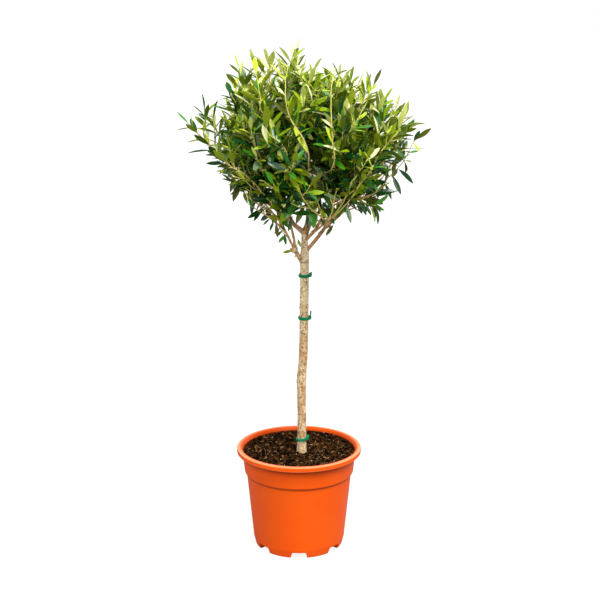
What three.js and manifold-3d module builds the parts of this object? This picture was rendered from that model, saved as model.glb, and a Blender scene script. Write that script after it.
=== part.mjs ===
// A young olive grown as a standard: a slim clear trunk in a plastic nursery pot, a vase of boughs at
// its head, and a loose round crown of leafy shoots, held by three soft green ties round the trunk.
// Millimetres, +Z up. The origin is the middle of the pot's foot, on the surface that it stands on,
// and the plant is seen from the front when looking along +Y.

import * as THREE from 'three';
import { mergeVertices } from 'three/addons/utils/BufferGeometryUtils.js';
import Module from 'manifold-3d';

const wasm = await Module();
wasm.setup();
const { Manifold } = wasm;

const GAP = 0.3; // the clearance between pieces that touch
const SMALLEST_EDGE = 0.01;

// Pot: a thin tapering wall with a wider collar under a turned-down rim. Its foot has drainage
// channels that run in from slots in the edge.
const POT_HEIGHT = 172;
const POT_SIDES = 36;
const WALL = 1.7;
const RIM_RADIUS = 105;
const RIM_INNER_RADIUS = 98;
const RIM_DROP = 8;
const RIM_EDGE = 1.3;
const COLLAR_TOP_RADIUS = 96.4;
const COLLAR_FOOT_RADIUS = 92.3;
const COLLAR_FOOT_Z = 130.4;
const STEP_DROP = 4.4;
const BODY_TOP_RADIUS = 88.8;
const BODY_FOOT_RADIUS = 77.5;
const BODY_FOOT_Z = 12.5;
const FOOT_RADIUS = 74.2;
const FLOOR_THICKNESS = 2.5;
const CHANNELS = 7;
const CHANNEL_HEIGHT = 10.5;
const CHANNEL_WIDTH = 27;
const CHANNEL_INNER_RADIUS = 34;
const PAST_EDGE = 20;

// Potting soil: it fills the pot to a little below the rim.
const SOIL_Z = 160;

// Trunk: it swells at its foot, where the roots begin, and at an old bend, and narrows under the fork.
const LIMB_SIDES = 8;
const FOOT_SWELL = 0.9;
const FOOT_SWELL_LENGTH = 10;
const BEND_SWELL = 0.5;
const BEND_Z = 290;
const BEND_LENGTH = 19;
const SHOULDER_FROM_Z = 496;
const SHOULDER_TO_Z = 522;

// The crown's heart is the fork that the whole crown radiates from.
const HEART = new THREE.Vector3(9.5, -4, 538);

// Crown: how far it reaches from its heart, straight up and at its low edge, which is further out
// at the right than at the left.
const TOP_REACH = 300;
const LOW_REACH = 104;
const LOW_REACH_LEAN = 36;
const FULL_REACH_TO = THREE.MathUtils.degToRad(30);
const LOW_REACH_FROM = THREE.MathUtils.degToRad(85);
const BARE_MIDDLE = 0.4;
const SPACE_MARGIN = 0.5;
const LIMB_MARGIN = 1.3;

// Twigs: three-sided, the side ones spread through the crown by an even sequence of trials.
const TWIG_TRIALS = 900;
const TWIG_LENGTH = 120;
const LONGEST_TWIG = 180;
const SHORTEST_TWIG = 30;
const FIRST_TWIG_AT = 0.06;
const LAST_TWIG_AT = 0.84;
const TWIG_FOLLOWS = 0.4;
const TWIG_BOW = 0.45;
const LEAD_BOW = 0.4;
const LEAD_BARE = 0.1;
const LEAD_THICKNESS = 0.85;
const TWIG_BARE = 0.15;
const TWIG_RADIUS = 1.3;
const TWIG_TIP_RADIUS = 1;
const TWIG_ROOT_RADIUS = 0.6;
const TWIG_SIDES = 3;
const TWIG_STEPS = 2;
const LEAD_STEPS = 5;

// Leaves: narrow lances in crossed pairs. They are larger than life, because they are fewer.
const LEAF_LENGTH = 57;
const LEAF_WIDTH = 17;
const LEAF_WIDEST = 0.45;
const LEAF_ROOT_HEIGHT = 0.9;
const LEAF_ROOT_OFFSET = 0.15;
const LEAF_DROOP = 3.2;
const LEAF_SPACING = 18;
const LEAF_REACH = 0.8;
const LAST_LEAF = 0.9;
const LEAF_CLEARANCE = 0.15;
const LEAF_TURNS = [0, 45, 90, 20, 70, 135];

// Ties: flat tubes drawn round the trunk, with one end left standing at the right.
const TIE_HEIGHT = 5.2;
const TIE_THICKNESS = 2.2;
const TIE_EDGE = 0.9;
const TIE_SIDES = 12;

const COLOURS = {
  pot: 0xe8590c,
  soil: 0x2c1e14,
  bark: 0xb9a27e,
  leaf: 0x4c7a1f,
  tie: 0x0b7a4b,
};

const point = (x, y, z) => new THREE.Vector3(x, y, z);
const share = (low, high, t) => low + (high - low) * t;

// A closed three.js geometry as a solid.
function solidOf(geometry) {
  const bare = geometry.index ? geometry.toNonIndexed() : geometry.clone();
  const shell = new THREE.BufferGeometry().setAttribute('position', bare.getAttribute('position'));
  const merged = mergeVertices(shell, 1e-4);
  return new Manifold(new wasm.Mesh({
    numProp: 3,
    vertProperties: merged.attributes.position.array,
    triVerts: new Uint32Array(merged.index.array),
  }));
}

// The largest of a solid's separate bodies, which drops any scrap that a cut leaves.
function largestOf(solid) {
  return solid.decompose().reduce((a, b) => (b.volume() > a.volume() ? b : a));
}

function meshOf(solid, name, colour, roughness) {
  const { vertProperties, triVerts } = solid.getMesh();
  const geometry = new THREE.BufferGeometry()
    .setAttribute('position', new THREE.BufferAttribute(vertProperties, 3))
    .setIndex(new THREE.BufferAttribute(triVerts, 1));
  geometry.computeVertexNormals();
  const material = new THREE.MeshStandardMaterial({ color: colour, roughness, metalness: 0 });
  const mesh = new THREE.Mesh(geometry, material);
  mesh.name = name;
  return mesh;
}

// A repeatable random sequence from 0 to 1.
function randomFrom(seed) {
  let state = (seed * 7919 + 104729) % 2147483647;
  const next = () => {
    state = (state * 16807) % 2147483647;
    return state / 2147483647;
  };
  next();
  next();
  return next;
}

// A solid tube along a curve: a cylinder whose rings are carried to the curve's frames.
// radiusAt gives the radius for 0 at the curve's start to 1 at its end.
function tubeSolid(curve, radiusAt, sides, steps) {
  const cylinder = new THREE.CylinderGeometry(1, 1, 1, sides, steps);
  const { normals, binormals } = curve.computeFrenetFrames(steps);
  const position = cylinder.getAttribute('position');
  for (let i = 0; i < position.count; i += 1) {
    const t = position.getY(i) + 0.5;
    const ring = Math.round(t * steps);
    const radius = radiusAt(t);
    const place = curve.getPointAt(t)
      .addScaledVector(normals[ring], position.getZ(i) * radius)
      .addScaledVector(binormals[ring], position.getX(i) * radius);
    position.setXYZ(i, place.x, place.y, place.z);
  }
  return solidOf(cylinder);
}

// A lathe turned about the vertical axis, from points of radius and height.
function turnedGeometry(points) {
  const lathe = new THREE.LatheGeometry(points.map(([r, z]) => new THREE.Vector2(r, z)), POT_SIDES);
  return lathe.rotateX(Math.PI / 2);
}

// The pot's outside, from the middle of its underside to the edge of its mouth.
const POT_OUTSIDE = [
  [0, 0],
  [FOOT_RADIUS - 1.5, 0],
  [FOOT_RADIUS, 1],
  [share(FOOT_RADIUS, BODY_FOOT_RADIUS, 0.75), 6],
  [BODY_FOOT_RADIUS, BODY_FOOT_Z],
  [BODY_TOP_RADIUS, COLLAR_FOOT_Z - STEP_DROP],
  [COLLAR_FOOT_RADIUS, COLLAR_FOOT_Z],
  [COLLAR_TOP_RADIUS, POT_HEIGHT - 2 * WALL],
  [RIM_RADIUS - WALL, POT_HEIGHT - 2 * WALL],
  [RIM_RADIUS - WALL, POT_HEIGHT - RIM_DROP],
  [RIM_RADIUS, POT_HEIGHT - RIM_DROP],
  [RIM_RADIUS, POT_HEIGHT - RIM_EDGE],
  [RIM_RADIUS - RIM_EDGE, POT_HEIGHT],
  [RIM_INNER_RADIUS, POT_HEIGHT],
];

// The pot's inside, a wall's thickness in, from its mouth down to the floor's middle. The soil
// keeps a gap to it.
function potInside(gap) {
  const inset = WALL + gap;
  return [
    [COLLAR_TOP_RADIUS - inset, POT_HEIGHT - 3 * WALL],
    [COLLAR_FOOT_RADIUS - inset, COLLAR_FOOT_Z + gap / 2],
    [BODY_TOP_RADIUS - inset, COLLAR_FOOT_Z - STEP_DROP + gap / 2],
    [BODY_FOOT_RADIUS - inset, BODY_FOOT_Z + gap],
    [FOOT_RADIUS - inset, FLOOR_THICKNESS + gap],
    [0, FLOOR_THICKNESS + gap],
  ];
}

// The drainage channels under the floor, grown by some millimetres at their sides, end and roof.
function channelsSolid(grown) {
  const length = FOOT_RADIUS + PAST_EDGE - CHANNEL_INNER_RADIUS + grown;
  const channels = Array.from({ length: CHANNELS }, (_, i) => {
    const box = new THREE.BoxGeometry(CHANNEL_WIDTH + 2 * grown, length, 2 * (CHANNEL_HEIGHT + grown));
    box.translate(0, grown - CHANNEL_INNER_RADIUS - length / 2, 0);
    box.rotateZ((i * 2 * Math.PI) / CHANNELS);
    return solidOf(box);
  });
  return Manifold.union(channels);
}

// The pot, as thick as its wall everywhere: its floor is raised over the drainage channels.
function potSolid() {
  const outside = [...POT_OUTSIDE, [0, POT_HEIGHT]];
  const mouth = [[0, POT_HEIGHT + 1], [RIM_INNER_RADIUS, POT_HEIGHT + 1], [RIM_INNER_RADIUS, POT_HEIGHT]];
  const inside = solidOf(turnedGeometry([...mouth, ...potInside(0)].reverse()));
  return solidOf(turnedGeometry(outside))
    .subtract(inside.subtract(channelsSolid(FLOOR_THICKNESS)))
    .subtract(channelsSolid(0));
}

// The soil: it follows the pot's inside up to its own level.
function soilSolid() {
  const sides = potInside(GAP).reverse();
  const [below, above] = sides.slice(-2);
  const level = (SOIL_Z - below[1]) / (above[1] - below[1]);
  const surface = [share(below[0], above[0], level), SOIL_Z];
  return solidOf(turnedGeometry([...sides.slice(0, -1), surface, [0, SOIL_Z]]))
    .subtract(channelsSolid(FLOOR_THICKNESS + GAP));
}

// The limbs, each from inside its parent to its tip. bends are the points on the way.
const LIMBS = [
  {
    name: 'trunk',
    from: point(4.4, -5, SOIL_Z + GAP),
    bends: [point(4.8, -5, 235), point(4.1, -4.6, 285), point(7.4, -4.2, 340), point(8.6, -4, 430)],
    tip: HEART.clone().setZ(541),
    radii: [7, 5.2],
    steps: 18,
  },
  { name: 'bough_centre', from: HEART, bends: [point(15.2, -1, 562)], tip: point(9, 2, 618), radii: [4.7, 3.1] },
  { name: 'bough_left', from: HEART, bends: [point(-13.7, -8, 558)], tip: point(-40, -10, 581), radii: [4, 2.8] },
  {
    name: 'bough_right',
    from: point(9.6, -4, 506),
    bends: [point(31, -9, 533), point(45.7, -12, 554)],
    tip: point(66, -16, 583),
    radii: [3.1, 2.7],
  },
  { name: 'bough_low_left', from: point(8, -4, 487), bends: [], tip: point(-8, -9, 513), radii: [4, 3.6] },
  {
    name: 'bough_right_front',
    from: point(10, -4, 527),
    bends: [point(24, -20, 544)],
    tip: point(45, -48, 586),
    radii: [3, 2.1],
  },
  {
    name: 'bough_right_back',
    from: point(10, -4, 531),
    bends: [point(19, 13, 552)],
    tip: point(34, 42, 592),
    radii: [3.1, 2.1],
  },
  {
    name: 'bough_left_outer',
    from: point(-6.5, -9, 511),
    bends: [point(-14, -14, 527)],
    tip: point(-21, -20, 543),
    radii: [2.2, 1.8],
  },
  {
    name: 'bough_left_inner',
    from: point(-6.5, -9, 511),
    bends: [point(-8.5, -17, 533)],
    tip: point(-22, -37, 586),
    radii: [2.3, 1.8],
  },
  {
    name: 'bough_left_back',
    from: point(-10, -7, 555),
    bends: [point(-18, 8, 572)],
    tip: point(-34, 33, 602),
    radii: [2.7, 1.9],
  },
  {
    name: 'bough_top_left',
    from: point(-18, -8, 562),
    bends: [point(-24, -4, 582)],
    tip: point(-31, -1, 622),
    radii: [2.7, 2],
  },
  {
    name: 'bough_top_right',
    from: point(15, -1, 566),
    bends: [point(24, -5, 590)],
    tip: point(34, -8, 632),
    radii: [2.8, 2],
  },
  {
    name: 'bough_top_back',
    from: point(14.4, -0.6, 574),
    bends: [point(15, 14, 600)],
    tip: point(12, 32, 640),
    radii: [2.7, 2],
  },
  {
    name: 'bough_right_low',
    from: point(42, -11, 549),
    bends: [point(55, -6, 558)],
    tip: point(68, 0, 569),
    radii: [2.3, 1.8],
  },
  {
    name: 'bough_low_front',
    from: point(22, -18, 542),
    bends: [point(28, -26, 547)],
    tip: point(34, -38, 554),
    radii: [2.2, 1.7],
  },
  {
    name: 'bough_low_back',
    from: point(19, 12, 550),
    bends: [point(22, 26, 557)],
    tip: point(24, 40, 564),
    radii: [2.2, 1.7],
  },
];

// The crown's masses: the bough that carries each, and the tip of its leading shoot.
const MASSES = [
  { name: 'foliage_top_middle', bough: 'bough_centre', tip: point(-6, -58, 841) },
  { name: 'foliage_top_left', bough: 'bough_top_left', tip: point(-78, 6, 835) },
  { name: 'foliage_top_right', bough: 'bough_top_right', tip: point(76, -14, 808) },
  { name: 'foliage_top_back', bough: 'bough_top_back', tip: point(6, 84, 818) },
  { name: 'foliage_left', bough: 'bough_left', tip: point(-197, -14, 737) },
  { name: 'foliage_left_front', bough: 'bough_left_inner', tip: point(-98, -124, 742) },
  { name: 'foliage_left_back', bough: 'bough_left_back', tip: point(-104, 126, 744) },
  { name: 'foliage_right', bough: 'bough_right', tip: point(172, -40, 752) },
  { name: 'foliage_right_front', bough: 'bough_right_front', tip: point(92, -132, 736) },
  { name: 'foliage_right_back', bough: 'bough_right_back', tip: point(98, 130, 742) },
  { name: 'foliage_right_low', bough: 'bough_right_low', tip: point(203, 30, 700) },
  { name: 'foliage_low_left', bough: 'bough_left_outer', tip: point(-120, -58, 612) },
  { name: 'foliage_low_front', bough: 'bough_low_front', tip: point(60, -130, 592) },
  { name: 'foliage_low_back', bough: 'bough_low_back', tip: point(30, 138, 598) },
];

const TIES = [
  { name: 'tie_lower', z: 187, tail: 3, tilt: 7 },
  { name: 'tie_middle', z: 397, tail: 11, tilt: 0 },
  { name: 'tie_upper', z: 468, tail: 4, tilt: 2 },
];

const TRUNK = LIMBS[0];

const curveThrough = (points) => new THREE.CatmullRomCurve3(points, false, 'centripetal');
const limbCurve = (limb) => curveThrough([limb.from, ...limb.bends, limb.tip]);

// The trunk's radius at a height.
function trunkRadius(z) {
  const [low, high] = TRUNK.radii;
  const foot = FOOT_SWELL * Math.exp((SOIL_Z - z) / FOOT_SWELL_LENGTH);
  const bend = BEND_SWELL * Math.exp(-(((z - BEND_Z) / BEND_LENGTH) ** 2));
  return share(low, high, THREE.MathUtils.smoothstep(z, SHOULDER_FROM_Z, SHOULDER_TO_Z)) + foot + bend;
}

// A limb's radius for 0 at its start to 1 at its tip. A bough tapers evenly.
function limbRadius(limb, t) {
  if (limb === TRUNK) return trunkRadius(share(limb.from.z, limb.tip.z, t));
  return share(limb.radii[0], limb.radii[1], t);
}

// A limb's solid. grown by some millimetres all round, it is what a neighbour is cut by.
function limbSolid(limb, grown = 0) {
  const curve = limbCurve(limb);
  const reached = curveThrough([
    limb.from.clone().addScaledVector(curve.getTangentAt(0), -grown),
    ...limb.bends,
    limb.tip.clone().addScaledVector(curve.getTangentAt(1), grown),
  ]);
  const corner = 1 / Math.cos(Math.PI / LIMB_SIDES);
  const radiusAt = (t) => limbRadius(limb, t) + grown * corner;
  return tubeSolid(reached, radiusAt, LIMB_SIDES, limb.steps ?? 4);
}

const GROWN_LIMBS = LIMBS.map((limb) => limbSolid(limb, GAP));

// A limb, cut clear of every limb listed before it.
function clearLimb(limb, i) {
  const earlier = GROWN_LIMBS.slice(0, i);
  return largestOf(Manifold.difference([limbSolid(limb), ...earlier]));
}

// How far the crown reaches from its heart, for an angle from straight up and a turn from the right.
function crownReach(angle, turn) {
  const low = LOW_REACH + LOW_REACH_LEAN * Math.cos(turn);
  return share(TOP_REACH, low, THREE.MathUtils.smoothstep(angle, FULL_REACH_TO, LOW_REACH_FROM));
}

for (const mass of MASSES) mass.toward = mass.tip.clone().sub(HEART).normalize();

// A mass's own space is a cone from the heart: every point nearer to its direction than to another's.
function inSpace(mass, place, margin) {
  const out = place.clone().sub(HEART);
  return MASSES.every((other) => {
    if (other === mass) return true;
    const across = mass.toward.clone().sub(other.toward);
    return across.dot(out) >= margin * across.length();
  });
}

// The limbs as rows of balls, to test what would touch them.
const BALLS = 25;
const LIMB_BALLS = LIMBS.flatMap((limb) => {
  const curve = limbCurve(limb);
  return Array.from({ length: BALLS }, (_, i) => {
    const t = i / (BALLS - 1);
    return { centre: curve.getPointAt(t), radius: limbRadius(limb, t) + LIMB_MARGIN };
  });
});

function clearOfLimbs(place, radius) {
  return LIMB_BALLS.every((ball) => place.distanceTo(ball.centre) > ball.radius + radius);
}

// A curve drawn as straight lengths, so that what grows on it starts inside it.
function drawn(curve, steps) {
  const path = new THREE.CurvePath();
  const places = curve.getSpacedPoints(steps);
  for (let k = 1; k <= steps; k += 1) path.add(new THREE.LineCurve3(places[k - 1], places[k]));
  return path;
}

// A mass's leading shoot: it goes on from the bough's tip in the bough's line and bows up to its own
// tip, which is short of the mass's by the last leaf.
function leadCurve(mass, limb) {
  const along = limbCurve(limb).getTangentAt(1);
  const end = mass.tip.clone().addScaledVector(mass.toward, -LAST_LEAF * LEAF_LENGTH);
  const bow = limb.tip.clone().addScaledVector(along, LEAD_BOW * limb.tip.distanceTo(end));
  return drawn(new THREE.QuadraticBezierCurve3(limb.tip, bow, end), LEAD_STEPS);
}

// The aim of trial i: a place in an even sequence that fills the half ball over the heart, or null
// where it is outside the crown or in its bare middle.
function twigAim(i) {
  const even = (step) => (0.5 + (i + 1) * step) % 1;
  const distance = TOP_REACH * Math.cbrt(even(0.8191725133961645));
  const angle = Math.acos(1 - even(0.6710436067037893) * (1 - Math.cos(LOW_REACH_FROM)));
  const turn = 2 * Math.PI * even(0.5497004779019703);
  const reach = crownReach(angle, turn) - LEAF_REACH * LEAF_LENGTH;
  if (distance > reach || distance < BARE_MIDDLE * reach) return null;
  const direction = point(Math.sin(angle) * Math.cos(turn), Math.sin(angle) * Math.sin(turn), Math.cos(angle));
  return { direction, distance };
}

// A side twig, from its mass's leading shoot to its aim. It leaves the shoot at the last place that
// is nearer the heart than the aim by a twig's length, and is null where the shoot is too near or far.
function sideTwig(lead, { direction, distance }) {
  const aim = HEART.clone().addScaledVector(direction, distance);
  const fromDistance = Math.max(distance - TWIG_LENGTH, 0.5 * distance);
  let t = FIRST_TWIG_AT;
  for (let k = t; k < LAST_TWIG_AT; k += 0.04) {
    if (lead.getPointAt(k).distanceTo(HEART) < fromDistance) t = k;
  }
  const from = lead.getPointAt(t);
  const length = from.distanceTo(aim);
  if (length < SHORTEST_TWIG || length > LONGEST_TWIG) return null;
  const out = aim.clone().sub(from).normalize().lerp(lead.getTangentAt(t), TWIG_FOLLOWS);
  const bow = from.clone().addScaledVector(out, TWIG_BOW * length);
  return drawn(new THREE.QuadraticBezierCurve3(from, bow, aim), TWIG_STEPS);
}

// One leaf, pointed along one direction and facing another: a lance with a keel under it. Its root
// is an upright edge, sunk in the twig.
function leafCorners(root, along, up, size) {
  const across = new THREE.Vector3().crossVectors(up, along);
  const at = (x, y, z) => root.clone()
    .addScaledVector(along, x)
    .addScaledVector(across, y)
    .addScaledVector(up, z);
  const widest = LEAF_WIDEST * LEAF_LENGTH * size;
  return {
    rootTop: at(0, 0, LEAF_ROOT_HEIGHT / 2),
    rootFoot: at(0, 0, -LEAF_ROOT_HEIGHT / 2),
    left: at(widest, (LEAF_WIDTH * size) / 2, 0),
    right: at(widest, (-LEAF_WIDTH * size) / 2, 0),
    tip: at(LEAF_LENGTH * size, 0, -LEAF_DROOP),
  };
}

function leafSolid({ rootTop, rootFoot, left, right, tip }) {
  const faces = [
    [rootTop, right, left],
    [tip, left, right],
    [rootFoot, tip, right],
    [rootFoot, left, tip],
    [rootTop, left, rootFoot],
    [rootTop, rootFoot, right],
  ];
  return solidOf(new THREE.BufferGeometry().setFromPoints(faces.flat()));
}

// Whether a leaf stays in its mass's space and touches no limb.
function leafFits(mass, corners) {
  const middle = corners.left.clone().add(corners.right).multiplyScalar(0.5);
  const half = corners.left.distanceTo(corners.right) / 2;
  return Object.values(corners).every((corner) => inSpace(mass, corner, SPACE_MARGIN))
    && clearOfLimbs(middle, half)
    && clearOfLimbs(middle.clone().lerp(corners.rootTop, 0.5), half / 2)
    && clearOfLimbs(middle.clone().lerp(corners.tip, 0.5), half / 2)
    && clearOfLimbs(corners.tip, 0);
}

// The places of a twig's leaves, from its tip down: a last leaf, and crossed pairs that lie closer
// to the twig towards its tip.
function leafPlaces(curve, bare, random) {
  const pairs = Math.max(1, Math.round(((1 - bare) * curve.getLength()) / LEAF_SPACING));
  const places = [{ t: 1, turn: 0, spread: 0, size: LAST_LEAF }];
  const start = random() * Math.PI;
  for (let k = pairs - 1; k >= 0; k -= 1) {
    const t = share(bare, 1, (k + 0.5) / pairs);
    const turn = start + k * (Math.PI / 2) + 0.4 * (random() - 0.5);
    const spread = share(1, 0.65, t) * share(0.85, 1.1, random());
    const size = share(1, 0.85, t ** 3) * share(0.85, 1.1, random());
    places.push({ t, turn, spread, size }, { t, turn: turn + Math.PI, spread, size });
  }
  return places;
}

// A leaf's corners at its place on a twig, turned a little more about the twig.
function placedLeaf(curve, { t, turn, spread, size }, more) {
  const along = curve.getTangentAt(t);
  const aside = new THREE.Vector3().crossVectors(along, point(0, 0, 1)).normalize();
  aside.applyAxisAngle(along, turn + more);
  const toward = along.clone().multiplyScalar(Math.cos(spread)).addScaledVector(aside, Math.sin(spread));
  const facing = new THREE.Vector3().crossVectors(toward, along).cross(toward);
  if (spread === 0) facing.copy(aside);
  const offset = spread === 0 ? -TWIG_RADIUS : LEAF_ROOT_OFFSET;
  const root = curve.getPointAt(t).addScaledVector(toward, offset);
  return leafCorners(root, toward, facing.normalize(), size);
}

// Whether two solids touch or nearly do: their boxes first, and then the solids themselves.
function meet(a, b) {
  const [boxA, boxB] = [a.boundingBox(), b.boundingBox()];
  const apart = [0, 1, 2].some((k) => boxA.min[k] > boxB.max[k] || boxB.min[k] > boxA.max[k]);
  return !apart && a.minGap(b, LEAF_CLEARANCE) < LEAF_CLEARANCE;
}

// Whether a twig's whole length stays in its mass's space and touches no limb.
function twigFits(mass, curve) {
  return curve.getSpacedPoints(8).every((place, k) => {
    const inside = inSpace(mass, place, SPACE_MARGIN + TWIG_RADIUS);
    return inside && (k === 0 || clearOfLimbs(place, TWIG_RADIUS));
  });
}

// A side twig's solid: it starts slim, inside the shoot that bears it, and then tapers.
function twigSolid(curve) {
  const radiusAt = (t) => (t === 0 ? TWIG_ROOT_RADIUS : share(TWIG_RADIUS, TWIG_TIP_RADIUS, t));
  return tubeSolid(curve, radiusAt, TWIG_SIDES, TWIG_STEPS);
}

// The twigs of a mass: its leading shoot, and the side twigs whose aims lie in its space and which
// touch no other side twig.
function twigsOf(mass) {
  const limb = LIMBS.find(({ name }) => name === mass.bough);
  const lead = leadCurve(mass, limb);
  const leadRadius = (t) => share(LEAD_THICKNESS * limb.radii[1], TWIG_TIP_RADIUS, t);
  const twigs = [{ curve: lead, solid: tubeSolid(lead, leadRadius, TWIG_SIDES, LEAD_STEPS), bare: LEAD_BARE, seed: 1 }];
  for (let i = 0; i < TWIG_TRIALS; i += 1) {
    const aim = twigAim(i);
    const curve = aim && inSpace(mass, aim.direction.clone().add(HEART), 0) ? sideTwig(lead, aim) : null;
    if (!curve || !twigFits(mass, curve)) continue;
    const solid = twigSolid(curve);
    if (twigs.slice(1).some((twig) => meet(twig.solid, solid))) continue;
    twigs.push({ curve, solid, bare: TWIG_BARE, seed: i + 2 });
  }
  return twigs;
}

// A leaf at a place on a twig: it is tried in a few turns about the twig, and is null where each of
// them leaves the mass's space or touches a limb or anything else of the mass.
function leafAt(mass, twig, place, others) {
  for (const turn of LEAF_TURNS) {
    const corners = placedLeaf(twig.curve, place, THREE.MathUtils.degToRad(turn));
    if (!leafFits(mass, corners)) continue;
    const leaf = leafSolid(corners);
    if (!others.some((other) => meet(leaf, other))) return leaf;
  }
  return null;
}

// A mass of foliage: its twigs and their leaves, cut clear of the bough that carries them.
function massSolid(mass) {
  const twigs = twigsOf(mass);
  const leaves = [];
  for (const twig of twigs) {
    const otherTwigs = twigs.filter((other) => other !== twig).map(({ solid }) => solid);
    for (const place of leafPlaces(twig.curve, twig.bare, randomFrom(twig.seed))) {
      const leaf = leafAt(mass, twig, place, [...otherTwigs, ...leaves]);
      if (leaf) leaves.push(leaf);
    }
  }
  const whole = Manifold.union([...twigs.map(({ solid }) => solid), ...leaves]);
  return largestOf(Manifold.difference([whole, ...GROWN_LIMBS]).simplify(SMALLEST_EDGE));
}

// A tie: a flat tube drawn once round the trunk, whose end stands up at the right.
function tieSolid({ z, tail, tilt }) {
  const lean = THREE.MathUtils.degToRad(tilt);
  const centre = limbCurve(TRUNK).getPointAt((z - TRUNK.from.z) / (TRUNK.tip.z - TRUNK.from.z));
  const half = TIE_HEIGHT / 2;
  const inner = (trunkRadius(z) + GAP + half * Math.sin(lean)) / Math.cos(Math.PI / TIE_SIDES);
  const outer = inner + TIE_THICKNESS;
  const section = [
    [inner, -half],
    [outer, TIE_EDGE - half],
    [outer, half - TIE_EDGE],
    [inner, half],
    [inner, -half],
  ].map(([r, h]) => new THREE.Vector2(r, h));
  const ring = new THREE.LatheGeometry(section, TIE_SIDES).rotateX(Math.PI / 2).rotateY(-lean);
  const end = new THREE.BoxGeometry(TIE_THICKNESS, 0.7 * TIE_HEIGHT, half + tail)
    .translate(outer + 0.1 * TIE_THICKNESS, 0, tail / 2)
    .rotateY(-lean);
  return solidOf(ring.translate(...centre)).add(solidOf(end.translate(...centre)));
}

const plant = new THREE.Group();
plant.add(meshOf(potSolid(), 'pot', COLOURS.pot, 0.45));
plant.add(meshOf(soilSolid(), 'potting_soil', COLOURS.soil, 0.95));
LIMBS.forEach((limb, i) => plant.add(meshOf(clearLimb(limb, i), limb.name, COLOURS.bark, 0.85)));
for (const tie of TIES) plant.add(meshOf(tieSolid(tie), tie.name, COLOURS.tie, 0.35));
for (const mass of MASSES) plant.add(meshOf(massSolid(mass), mass.name, COLOURS.leaf, 0.6));

export default plant;
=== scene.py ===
"""A young olive grown as a standard in a nursery pot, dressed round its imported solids.

Sizes are in millimetres and become metres where a mesh is made. +Z is up and the front is -Y. The
crown's heart is the fork that all of it radiates from: each mass of foliage has one leading shoot,
side twigs that go to an even sequence of aims, and short sprigs, with leaves in crossed pairs."""

import itertools
import math

import bpy
import numpy as np
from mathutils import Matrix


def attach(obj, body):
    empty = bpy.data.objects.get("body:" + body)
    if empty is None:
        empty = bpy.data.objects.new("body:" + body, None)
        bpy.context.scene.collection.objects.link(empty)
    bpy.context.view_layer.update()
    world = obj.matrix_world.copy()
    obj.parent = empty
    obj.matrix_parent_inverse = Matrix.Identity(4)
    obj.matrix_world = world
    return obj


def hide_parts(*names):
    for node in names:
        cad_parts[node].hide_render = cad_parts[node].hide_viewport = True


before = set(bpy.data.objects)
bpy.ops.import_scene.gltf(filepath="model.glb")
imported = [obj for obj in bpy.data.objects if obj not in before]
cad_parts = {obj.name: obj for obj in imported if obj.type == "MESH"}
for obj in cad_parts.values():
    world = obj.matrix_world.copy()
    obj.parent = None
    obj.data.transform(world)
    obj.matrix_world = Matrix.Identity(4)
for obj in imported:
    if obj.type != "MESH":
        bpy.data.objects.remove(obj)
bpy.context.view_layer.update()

MM = 0.001
UP = np.array([0.0, 0.0, 1.0])

# Camera, as fitted to the ellipses of the rim and the foot: its place, and how far it looks down
CAMERA_PLACE = (1.7, -1926.0, 879.0)
CAMERA_DOWN = 13.24
LENS = 72
SENSOR = 36

# Studio: what the air gives, and the floor as seen and as it throws light back
AIR_LIGHT = 0.27
BACK_LIGHT = 1.1
FLOOR_HALF = 30000
FLOOR_SEEN = (0.22, 0.22, 0.22, 1)
FLOOR_GLOW = 0.88
FLOOR_THROWN = (0.3, 0.3, 0.3, 1)

# Lamps: where each stands in degrees from the right towards the back, its height and how wide it
# looks, also in degrees, and its strength
LAMPS = {
    "lamp_key": (-58, 60, 24, 3.0),
    "lamp_fill_left": (-142, 12, 34, 1.0),
    "lamp_fill_right": (-52, 12, 34, 1.0),
}

# Pot, as its solid is, with finer edges
POT_HEIGHT = 172.0
POT_SIDES = 216
WALL = 1.7
RIM_RADIUS = 105.0
RIM_INNER_RADIUS = 98.0
RIM_DROP = 8.0
COLLAR_TOP_RADIUS = 96.4
COLLAR_FOOT_RADIUS = 92.3
COLLAR_FOOT_Z = 130.4
STEP_DROP = 4.4
BODY_TOP_RADIUS = 88.8
BODY_FOOT_RADIUS = 77.5
BODY_FOOT_Z = 12.5
FOOT_RADIUS = 74.2
FOOT_STEP = 0.5
FLOOR_THICKNESS = 2.5
CHANNELS = 7
CHANNEL_HEIGHT = 10.5
CHANNEL_WIDTH = 27.0
CHANNEL_DRAFT = 2.0
CHANNEL_INNER_RADIUS = 34.0
CHANNEL_PAST_FOOT = 20.0
CHANNEL_ROUND = 1.8

# Soil: a rough crust on the flat top of its solid, with a low mound behind the trunk
SOIL_Z = 160.0
CRUST_RADIUS = 93.9
CRUST_RINGS = 100
CRUST_SECTORS = 330
MOUND_PLACE = (4.4, 12.0)
MOUND_WIDTH = 22.0
CHIPS = 2600
GRAINS = 70
SPLINTERS = 60
CLEAR_OF_TRUNK = 11.0

# Trunk: where it stands, its radii under and over the shoulder, and its two swellings
TRUNK_FOOT = (4.4, -5.0)
TRUNK_RADIUS = 7.0
TRUNK_TOP_RADIUS = 5.2
FOOT_SWELL = 1.3
FOOT_SWELL_LENGTH = 9.0
BEND_SWELL = 0.5
BEND_Z = 290.0
BEND_LENGTH = 19.0
SHOULDER_FROM_Z = 496.0
SHOULDER_TO_Z = 522.0
BARK_OVER = 0.35

# Bark on the trunk and on the boughs: rings this far apart, sides, the relief's depth, and how far
# the limb swells where it leaves its parent
TRUNK_MAKE = (0.8, 72, 0.3, 0)
BOUGH_MAKE = (1.0, 30, 0.22, 1.1)

# The fork, which the whole crown radiates from
HEART = np.array([9.5, -4.0, 538.0])

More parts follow.
